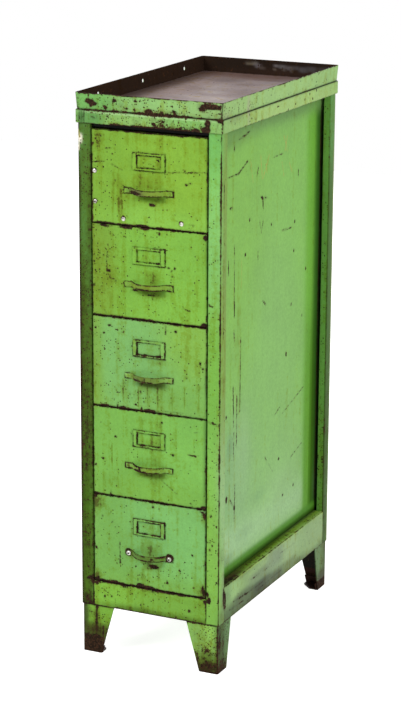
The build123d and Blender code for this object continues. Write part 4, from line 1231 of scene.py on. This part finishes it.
legs = {
    "sheet": 3.0, "bend": 3.0, "inset": 2.0, "top": 155.2, "corner": 8.0,
    "pitch": 2.5, "rise": 2.5, "riseInside": 5.0,
    "across": (41.5, 71.0), "deep": (43.0, 63.5),  # flanges at the foot and at the underside of the rails
}
legWearAndShade = {
    ("front", "right"): {
        "base": (152, 206, 98), "inside": (40, 38, 22),
        "tones": [
            (50, 80, 18, 60, (92, 122, 82)), (22, 60, 17, 80, (48, 64, 38)), (7, 66, 6, 44, (34, 36, 22)),
            (-20, 2, 60, 14, (52, 50, 24)), (-24, 26, 26, 14, (92, 124, 52)),
            (-50, 70, 14, 40, (126, 168, 84)),
        ],
        "edges": [
            ("a", 0, 0, 110, 2.2), ("b", 0, -45, 45, 3.5), ("a", -46, 0, 40, 0.5), ("a", -71, 90, 110, 0.8),
            ("b", 105, -71, 64, 1.7),
        ],
        # painted shade along the joint under the post and rail
        "shades": [(-4, 104.8, 68, 1.8, (34, 38, 14))],
        "chipped": [
            (-24, 46, 34, 60, -1.2), (-20, 14, 40, 14, -0.2), (20, 10, 30, 24, 0.1), (8, 66, 8, 44, 0.5),
            (26, 50, 8, 50, -0.5),
        ],
        "stains": [(-24, 40, 60, 70, 0.34), (-20, 8, 60, 22, 0.9)], "pock": 0.8,
    },
    ("front", "left"): {
        "base": (122, 174, 62), "inside": (40, 38, 22),
        "tones": [(-3, 70, 6, 60, (56, 68, 30)), (-24, 46, 50, 12, (64, 66, 28))],
        "edges": [
            ("a", 0, 0, 110, 2.4), ("b", 0, -45, 45, 28.0), ("a", -46, 20, 60, 2.0), ("b", 105, -71, 64, 1.4),
        ],
        # the first shade is painted shade along the joint under the post and rail; the second is a strip of
        # rust
        "shades": [(-4, 104.8, 68, 1.8, (36, 36, 16)), (-31, 74, 3.0, 30, (82, 78, 40))],
        "cuts": [(-32, 106, -31, 36, 1.3)],
        "chipped": [
            (-31, 70, 8, 40, -0.6), (-24, 31, 40, 12, 1.9), (-24, 48, 30, 16, -0.5), (-20, 80, 40, 40, -1.0),
        ],
        "stains": [(-31, 70, 12, 60, 0.5), (-24, 50, 50, 30, 0.5)], "pock": 0.4,
    },
    ("rear", "right"): {
        "base": (106, 136, 90), "inside": (24, 21, 12), "insideFoot": (52, 22, 12),
        "tones": [(-32, 50, 26, 120, (34, 30, 16)), (14, 26, 30, 12, (64, 66, 44))],
        "edges": [("a", 0, 0, 110, 1.6), ("b", 0, -50, 45, 22.0), ("b", 104, -71, 64, 0.8)],
        "stains": [(20, 60, 30, 60, 0.3)], "pock": 0.2,
    },
    ("rear", "left"): {
        "base": (100, 132, 80), "inside": (30, 26, 14), "insideFoot": (52, 22, 12),
        "tones": [(0, 24, 80, 14, (60, 60, 40))], "edges": [("a", 0, 0, 110, 1.6), ("b", 0, -50, 45, 16.0)],
        "stains": [(0, 60, 60, 60, 0.3)], "pock": 0.2,
    },
}
for (end, side), look in legWearAndShade.items():
    # the angle's top section, where what lies past the corner shrinks in step with the height
    mid, corner = legs["sheet"] / 2, legs["corner"]
    line = [(mid, legs["deep"][1]), (mid, mid), (legs["across"][1], mid)]
    ring = sheetRing(line, legs["sheet"], legs["bend"] - mid, legs["pitch"])
    above = spread(bottomZ, legs["top"], legs["riseInside"])[1:]
    stations = np.concatenate([spread(0.0, bottomZ, legs["rise"]), above])
    t = np.minimum(stations / bottomZ, 1)[:, None]
    grid = np.empty((len(stations), len(ring), 3))
    x, y, inX, inY = cornerOf(end, side)
    for axis, start, way, (foot, top) in ((0, x, inX, legs["across"]), (1, y, inY, legs["deep"])):
        shrink = (foot + (top - foot) * t - corner) / (top - corner)
        reach = np.minimum(ring[:, axis], corner) + np.maximum(ring[:, axis] - corner, 0) * shrink
        grid[..., axis] = start + way * (legs["inset"] + reach)
    grid[..., 2] = stations[:, None]
    dressed(
        f"folded_leg_{end}_{side}", [ringSkin(grid)], f"leg_{end}_{side}", look, cornerCoordinates(end, side),
        lambda place: innerSide(grid),
    )
print("legs dressed")

# ---- band round the top

band = {
    "out": 4.0, "sheet": 1.5, "bend": 1.0, "height": 27.0, "hub": 0.5, "pitch": 2.5, "shut": 0.02,
    "seam": 0.5, "seamIn": (11.1, 3.0),  # from the left front corner and from the right rear one
}
# a is 0 at the front right corner, runs to -311 at the left and on along the right side; b is the height
bandWearShadeAndSheen = {
    "base": (132, 183, 96),
    "tones": [
        # the tone at a of 300, paler along the right side, is painted sheen
        (-60, 1120, 60, 20, (124, 182, 96)), (300, 1120, 280, 20, (160, 192, 118)),
        (90, 1116, 60, 12, (140, 178, 106)), (-285, 1120, 20, 20, (96, 150, 80)),
        (120, 1135, 5, 40, (160, 150, 132)), (60, 1132, 30, 8, (120, 140, 96)),
    ],
    "shades": [
        # painted highlight along the top edge under the seam, then painted shade in the seam with the tray
        (-160, 1131.9, 160, 1.5, (182, 222, 158)), (130, 1136.5, 1500, 3.0, (8, 12, 4)),
        (-306, 1120, 5.5, 14, (84, 130, 68)), (-299.6, 1121, 1.1, 13, (26, 32, 12)),
    ],
    "edges": [
        ("b", 1108, -240, -50, 3.4), ("b", 1108, -311, -240, 1.6), ("b", 1108, -50, 0, 1.4),
        ("b", 1135, -311, 0, 1.8), ("a", 0, 1100, 1140, 2.4), ("b", 1108, 0, 580, 0.3),
        ("b", 1135, 0, 580, -0.6), ("a", -300, 1100, 1140, 0.9), ("a", 4, 1100, 1140, 1.0),
    ],
    "rust": [
        (-32, 1126, 7, 9), (-36, 1113, 10, 8), (-309, 1118, 1.5, 8), (-58, 1111, 12, 5), (-148, 1117, 5, 3),
        (-279, 1121, 6, 3), (-8, 1132, 6, 4), (-11, 1123, 1.6, 6), (-2, 1113, 3, 4), (-14, 1117, 1.6, 4),
        (-200, 1128, 4, 2), (-248, 1126, 3, 3),
    ],
    "chipped": [
        (-110, 1112, 100, 9, -0.3), (-160, 1122, 160, 16, -1.5), (-300, 1122, 12, 16, -1.4),
        (-20, 1120, 22, 16, -2.0),
    ],
    "pocks": [(-200, 1122, 120, 20, 0.5), (-40, 1122, 50, 20, 0.5), (160, 1122, 160, 20, 0.12)], "pock": 0.18,
    "stains": [(-160, 1110, 160, 8, 0.3), (120, 1122, 120, 30, 0.15)],
}


def roundTheCorner(place, frontDepth=None):
    # a of the band and the tray; within the front depth it keeps its sign, and beyond it both sides run on
    # alike
    a = (place[:, 0] - half) + (place[:, 1] - frontY)
    return a if frontDepth is None else np.where(place[:, 1] < frontY + frontDepth, a, np.abs(a))


def bandSkin(path, sides):
    # a channel open to the inside, carried round the posts: each station is the path plus its outward side
    # times the channel's own distance out
    low, mid, shut = topZ - band["height"], band["sheet"] / 2, band["shut"]
    reach = band["out"] - mid
    line = [(shut, low + mid), (reach, low + mid), (reach, topZ - mid), (shut, topZ - mid)]
    section = sheetRing(line, band["sheet"], band["bend"], band["pitch"])
    grid = np.empty((len(path), len(section), 3))
    grid[..., :2] = path[:, None] + sides[:, None] * section[None, :, :1]
    grid[..., 2] = section[:, 1]
    return ringSkin(grid)


seamX, seamY = -half + band["seamIn"][0], rearY - band["seamIn"][1]
gap = band["seam"] / 2
behind = [(half, rearY), (-half, rearY), (-half, frontY)]
strips = (
    ("front_right", None, [(seamX + gap, frontY), (half, frontY), (half, seamY - gap)]),
    ("rear_left", 2, [(half, seamY + gap), *behind, (seamX - gap, frontY)]),
)
for name, frontDepth, corners in strips:
    path, sides = bentLine(corners, band["hub"], band["pitch"])
    dressed(
        f"top_band_{name}", [bandSkin(path, sides)], f"band_{name}", bandWearShadeAndSheen,
        lambda place: (roundTheCorner(place, frontDepth), place[:, 2]),
    )
print("band dressed")

# ---- open tray

tray = {
    "sheet": 1.5, "flare": 3.0, "height": 33.0, "corner": 3.0, "pitch": 4.0,
    "levels": (0.0, 2.0, 4.5, 30.0, 33.0), "hole": 3.9, "holeZ": 17.0, "holePitch": 198.5,
}
trayWearAndShade = {
    # the shade at b of 1133.6 is painted shade in the seam with the band
    "base": (137, 191, 110), "inside": (38, 27, 20), "shades": [(130, 1133.6, 1500, 3.0, (8, 12, 4))],
    "tones": [
        (300, 1150, 280, 30, (152, 188, 118)), (80, 1156, 60, 14, (146, 182, 110)),
        (-280, 1150, 30, 20, (112, 174, 88)), (120, 1150, 6, 40, (166, 152, 140)),
        (20, 1140, 14, 8, (148, 164, 118)),
    ],
    "edges": [
        ("b", 1135, -240, -60, 2.8), ("b", 1135, -311, -240, 1.6), ("b", 1135, -60, 0, 1.8),
        ("b", 1168, -311, 0, 1.6), ("a", 0, 1130, 1170, 2.6), ("b", 1168, 0, 580, 0.5),
        ("b", 1135, 0, 580, -0.6), ("a", -311, 1130, 1170, 1.4),
    ],
    "rust": [
        (-285, 1152, 10, 6), (-276, 1148, 8, 4), (-283, 1147, 4, 7), (-250, 1142, 6, 5), (-232, 1157, 7, 5),
        (-186, 1158, 4, 3), (-157, 1141, 8, 4), (-104, 1144, 3, 3), (-26, 1159, 26, 7), (-44, 1153, 9, 5),
        (-2, 1146, 3, 12), (-205, 1143, 6, 3), (8, 1158, 3, 5),
    ],
    "chipped": [
        (-225, 1148, 70, 16, -0.6), (-120, 1140, 70, 8, -0.5), (-20, 1150, 40, 20, -0.6),
        (60, 1150, 60, 16, -2.6),
    ],
    "pocks": [(-160, 1150, 160, 30, 0.45), (80, 1150, 120, 20, 0.2)], "pock": 0.16,
    "stains": [(-160, 1140, 160, 10, 0.25)],
}
# on the floor a is x and b is y, with the front at -282
floorWearAndSheen = {
    "base": (137, 124, 123),
    "tones": [
        # the pale patches, most of all towards the front right, are painted sheen; towards the left and rear
        # walls it is darker
        (100, -190, 70, 90, (178, 167, 167)), (-40, -240, 110, 40, (150, 136, 135)),
        (-136, 60, 26, 260, (72, 54, 46)), (-84, 20, 26, 120, (138, 122, 118)),
        (70, 60, 50, 120, (144, 131, 130)), (0, 268, 170, 34, (100, 78, 71)),
        (-20, -60, 40, 60, (148, 135, 134)), (110, 220, 40, 60, (134, 124, 125)),
        (36, -58, 44, 26, (184, 172, 168)), (-11, -45, 30, 14, (166, 156, 152)),
        (-35, 83, 26, 26, (154, 142, 140)), (-66, 195, 34, 26, (108, 94, 92)),
        (60, 40, 30, 30, (124, 110, 108)), (0, 20, 24, 16, (164, 154, 152)),
        (70, 110, 26, 20, (152, 140, 138)), (100, 20, 16, 16, (174, 164, 162)),
        (20, 147, 20, 16, (118, 104, 102)), (110, 200, 24, 30, (114, 100, 96)),
        (-70, 60, 22, 18, (124, 108, 104)), (40, 230, 40, 14, (108, 90, 86)),
    ],
    "edges": [
        ("a", -156, -290, 300, 3.0), ("a", 156, -290, 300, 2.0), ("b", -281, -156, 156, 1.5),
        ("b", 298, -156, 156, 4.0),
    ],
    "chipped": [(-100, 100, 70, 260, -2.0)], "stains": [(0, 0, 300, 400, -0.05), (-120, 100, 30, 200, 0.2)],
    "cuts": [
        (-40, -120, 80, -60, -0.4), (-80, 40, 60, 100, -0.4), (10, 140, 120, 90, -0.4),
        (-100, -200, 20, -150, -0.4),
    ],
    "pock": 0.05,
}
# on the inner faces of the walls a is x and b is the height
wallWear = {
    "base": (37, 28, 22),
    "tones": [
        (-156, 1150, 20, 60, (45, 31, 22)), (-90, 1150, 60, 20, (36, 27, 21)),
        (40, 1140, 200, 7, (48, 34, 27)),
    ],
    "shades": [
        (-46, 1158, 10, 3.4, (84, 76, 66)), (-33, 1158.5, 7, 3.6, (94, 88, 84)),
        (-26, 1154, 8, 4.6, (84, 78, 80)), (-17, 1150.5, 8, 3, (68, 58, 52)),
        (16, 1157, 6, 3.2, (92, 86, 86)), (13, 1149, 4, 3, (80, 70, 62)), (30, 1156, 9, 4.2, (84, 80, 80)),
        (34, 1149.5, 4, 3, (74, 66, 60)), (47, 1154, 10, 4.6, (80, 74, 74)), (52, 1148, 4, 3, (72, 64, 60)),
        (63, 1155, 8, 4, (68, 62, 62)), (79, 1152, 10, 6, (74, 70, 70)), (97, 1154, 12, 6, (68, 64, 64)),
        (106, 1147, 6, 4, (70, 62, 60)), (124, 1152, 16, 8, (62, 56, 54)),
    ],
    "edges": [("b", 1168, -170, 170, 1.6)], "chipped": [(-156, 1150, 10, 20, -1.2)], "pock": 0.25,
}


def makeTray():
    # panSkin with the floor as its face and the leaning wall as its rim, its corners rounded; near each hole
    # the wall's square grid is drawn to circles, the squares inside are left out and a short tunnel joins the
    # two faces
    low, high = boxOf("tray_top")
    centreY = (low[1] + high[1]) / 2
    halfX, halfY = high[0] - tray["flare"], (high[1] - low[1]) / 2 - tray["flare"]
    wall = tray["sheet"] * hypot(1, tray["flare"] / tray["height"])
    around = tray["hole"] * np.array([-2.4, -1.7, -1, -0.5, 0, 0.5, 1, 1.7, 2.4])
    corner = tray["corner"] * np.array([0, 0.3, 0.65, 1])
    holes = [step * tray["holePitch"] for step in (-1, 0, 1)]

    def lines(reach, holeMiddles):
        # one pitch apart but for the places round the corners and the holes
        free = spread(-reach + tray["corner"], reach - tray["corner"], tray["pitch"])
        for middle in holeMiddles:
            free = free[np.abs(free - middle) > tray["hole"] * 3]
        parts = [free, -reach + corner, reach - corner] + [middle + around for middle in holeMiddles]
        return np.unique(np.round(np.concatenate(parts), 4))

    across, up = lines(halfX, []), lines(halfY, holes)
    levels = np.unique(np.round(np.concatenate([tray["levels"], tray["holeZ"] + around]), 4))
    lean = tray["flare"] / tray["height"]
    inside = levels[levels > tray["sheet"]][::-1]
    rim = [(lean * level, level) for level in levels[1:]]
    rim += [(lean * level - wall, level) for level in inside] + [(lean * tray["sheet"] - wall, tray["sheet"])]
    points, quads = panSkin(across, up, rim)
    x, y = roundCorners(points[:, 0], points[:, 1], halfX, halfY, tray["corner"])
    place = np.column_stack([x, y, points[:, 2]])
    wallLeft = (place[:, 0] < -halfX + 2 * tray["sheet"]) & (place[:, 2] > 2)
    keep = np.ones(len(quads), bool)
    tunnels = []
    for middle in holes:
        offY, offZ = place[:, 1] - middle, place[:, 2] - tray["holeZ"]
        square = np.maximum(np.abs(offY), np.abs(offZ))
        near = wallLeft & (square < tray["hole"] * 2.3)
        share = np.clip((tray["hole"] * 2.4 - square) / (tray["hole"] * 1.4), 0, 1)
        ratio = 1 + share * (square / np.maximum(np.hypot(offY, offZ), 1e-9) - 1)
        inHole = wallLeft & (square < tray["hole"] * 1.01)
        keep &= ~inHole[quads].all(1)
        ring = np.flatnonzero(wallLeft & (np.abs(square - tray["hole"]) < 1e-3))
        outerFirst = place[ring, 0] + halfX + lean * place[ring, 2] < wall / 2
        turns = np.arctan2(offZ[ring], offY[ring])
        outer = ring[outerFirst][np.argsort(turns[outerFirst])]
        inner = ring[~outerFirst][np.argsort(turns[~outerFirst])]
        tunnels.append(np.stack([outer, np.roll(outer, -1), np.roll(inner, -1), inner], -1))
        place[near, 1] = middle + offY[near] * ratio[near]
        newZ = tray["holeZ"] + offZ * ratio
        place[near, 0] -= lean * (newZ[near] - place[near, 2])
        place[near, 2] = newZ[near]
    quads = np.concatenate([quads[keep]] + tunnels)
    place = place + (0, centreY, low[2])
    piece = makePiece("top_tray", [(place, quads)], "cabinet", "tray_top", recalculate=True)
    place = vertices(piece)
    height = place[:, 2] - low[2]
    outX, outY = halfX + lean * height, halfY + lean * height
    toWall = np.minimum(outX - np.abs(place[:, 0]), outY - np.abs(place[:, 1] - centreY))
    indoors = (toWall > wall * 0.6) & (height > tray["sheet"] * 0.9)
    ground = indoors & (height < tray["sheet"] * 1.1)
    return piece, place, ground, indoors

trayPiece, place, ground, indoors = makeTray()
x, y, z = place.T
layers = wearAndPaintedLightLayers(roundTheCorner(place, 4), z, trayWearAndShade, indoors)
for chosen, b, look in ((indoors & ~ground, z, wallWear), (ground, y, floorWearAndSheen)):
    # the chosen vertices take their colour and wear from another look
    for name, values in wearAndPaintedLightLayers(x, b, look).items():
        layers[name] = np.where(chosen[:, None], values, layers[name])
wearOn(trayPiece, layers)
trayPiece.data.materials.append(trayPaintWithPaintedLight)
corners = np.empty(len(trayPiece.data.polygons) * 4, np.int32)
trayPiece.data.polygons.foreach_get("vertices", corners)
trayPiece.data.polygons.foreach_set("material_index", indoors[corners.reshape(-1, 4)].all(1).astype(np.int32))
print("tray dressed")

# ---- what stays as it is in the CAD, with its finish

screwHead = 4.9  # radius
low, high = boxOf("pull_screws_5")
screwX, screwZ = high[0] - screwHead, (low[2] + high[2]) / 2
screwMiddles = [(-screwX, screwZ), (screwX, screwZ)]
screwSteel = steelFinish("bright_screw_steel", {**brightLook, "recess": 2.0, "recesses": screwMiddles})
studBase = boxOf("drawer_front_1")[0][2]
studMiddles = [(x, studBase + z) for x, z in studSpots]
studSteel = steelFinish("bright_stud_steel", {**brightLook, "recess": 0.9, "recesses": studMiddles})
kept = {
    "front_header": darkPaint, "rear_header": plainPaint, "bottom_pan": plainPaint, "feet": footPaint,
    "runners_left": runnerSteel, "runners_right": runnerSteel, "drawer_stops": runnerSteel,
    "front_studs_1": studSteel, "pull_screws_5": screwSteel, "pull_nuts_5": brightSteel,
}
for number in fronts:
    kept[f"drawer_box_{number}"] = plainPaint
    kept[f"drawer_slides_{number}"] = runnerSteel
    if number < 5:
        kept[f"pull_rivets_{number}"] = rivetPaint
for node, finish in kept.items():
    slots = nodes[node].material_slots
    if not len(slots):
        nodes[node].data.materials.append(finish)
    for each in nodes[node].material_slots:
        each.material = finish
print("inner nodes finished")

# ---- floor, light and camera, in metres

studio = {
    "world": 0.34, "floor": 0.8, "floorLift": 0.8, "floorReach": 5, "target": (0, 0, 0.6),
    "key": {"place": (-2.4, -3.8, 3.6), "size": 2.2, "power": 164.0},
    "side": {"place": (4.6, -1.4, 2.8), "size": 2.4, "power": 138.0},
    "rear": {"place": (-1.6, 4.2, 2.6), "size": 2.4, "power": 100.0},
}
view = {
    "place": (1.9704, -4.24975, 1.8489), "turn": 25.0877, "rise": 15.0993, "roll": 0.2805, "lens": 117.2,
    "sensor": 36.0, "reach": 100.0,
}
white = (1, 1, 1, 1)


def seenDirectly(g):
    # 1 for camera, glossy and transmission rays
    rays = g.add("LightPath").socket.node
    names = ("Is Camera Ray", "Is Glossy Ray", "Is Transmission Ray")
    camera, glossy, through = (Wire(g, rays.outputs[name]) for name in names)
    return camera.larger(glossy).larger(through)


def setUp(name, data, place, right, up, back):
    # links a new object whose own X, Y and Z are right, up and back
    thing = bpy.data.objects.new(name, data)
    turned = Matrix.Identity(4)
    for i in range(3):
        turned[i][0], turned[i][1], turned[i][2], turned[i][3] = right[i], up[i], back[i], place[i]
    thing.matrix_world = turned
    bpy.context.scene.collection.objects.link(thing)
    return thing


world = bpy.data.worlds.new("studio")
bpy.context.scene.world = world
g = Finish("studio", world)
plain = g.add("Background", None, {"Color": white, "Strength": studio["world"]})
bright = g.add("Background", None, {"Color": white, "Strength": 1.0})
g.add("OutputWorld", None, {"Surface": g.add("MixShader", None, {0: seenDirectly(g), 1: plain, 2: bright})})

floorMesh = bpy.data.meshes.new("studio_floor")
reach = studio["floorReach"]
floorCorners = [(-reach, -reach, 0), (reach, -reach, 0), (reach, reach, 0), (-reach, reach, 0)]
floorMesh.from_pydata(floorCorners, [], [(0, 1, 2, 3)])
floor = bpy.data.objects.new("studio_floor", floorMesh)
bpy.context.scene.collection.objects.link(floor)
g = Finish("pale_floor")
shade = studio["floor"]
matt = g.add("BsdfDiffuse", None, {"Color": (shade, shade, shade, 1)})
glow = g.add("Emission", None, {"Color": white, "Strength": seenDirectly(g) * studio["floorLift"]})
g.add("OutputMaterial", None, {"Surface": g.add("AddShader", None, {0: matt, 1: glow})})
floorMesh.materials.append(g.owner)

for name in ("key", "side", "rear"):
    # each lamp shines along its own -Z, straight at the target
    lamp = bpy.data.lights.new(name, "AREA")
    lamp.shape = "SQUARE"
    lamp.size = studio[name]["size"]
    lamp.energy = studio[name]["power"]
    place = studio[name]["place"]
    direction = np.array(studio["target"], float) - np.array(place, float)
    back = -direction / np.linalg.norm(direction)
    right = np.cross((0, 0, 1), back)
    right /= np.linalg.norm(right)
    setUp(name, lamp, place, right, np.cross(back, right), back)

turn, rise, roll = (radians(view[key]) for key in ("turn", "rise", "roll"))
back = np.array([sin(turn) * cos(rise), -cos(turn) * cos(rise), sin(rise)])
level = np.array([cos(turn), sin(turn), 0])
above = np.cross(level, -back)
right = cos(roll) * level + sin(roll) * above
up = -sin(roll) * level + cos(roll) * above
cameraData = bpy.data.cameras.new("camera")
cameraData.lens = view["lens"]
cameraData.sensor_width = view["sensor"]
cameraData.clip_end = view["reach"]
bpy.context.scene.camera = setUp("camera", cameraData, view["place"], right, up, back)
bpy.context.scene.view_settings.view_transform = "Standard"
print("studio ready")
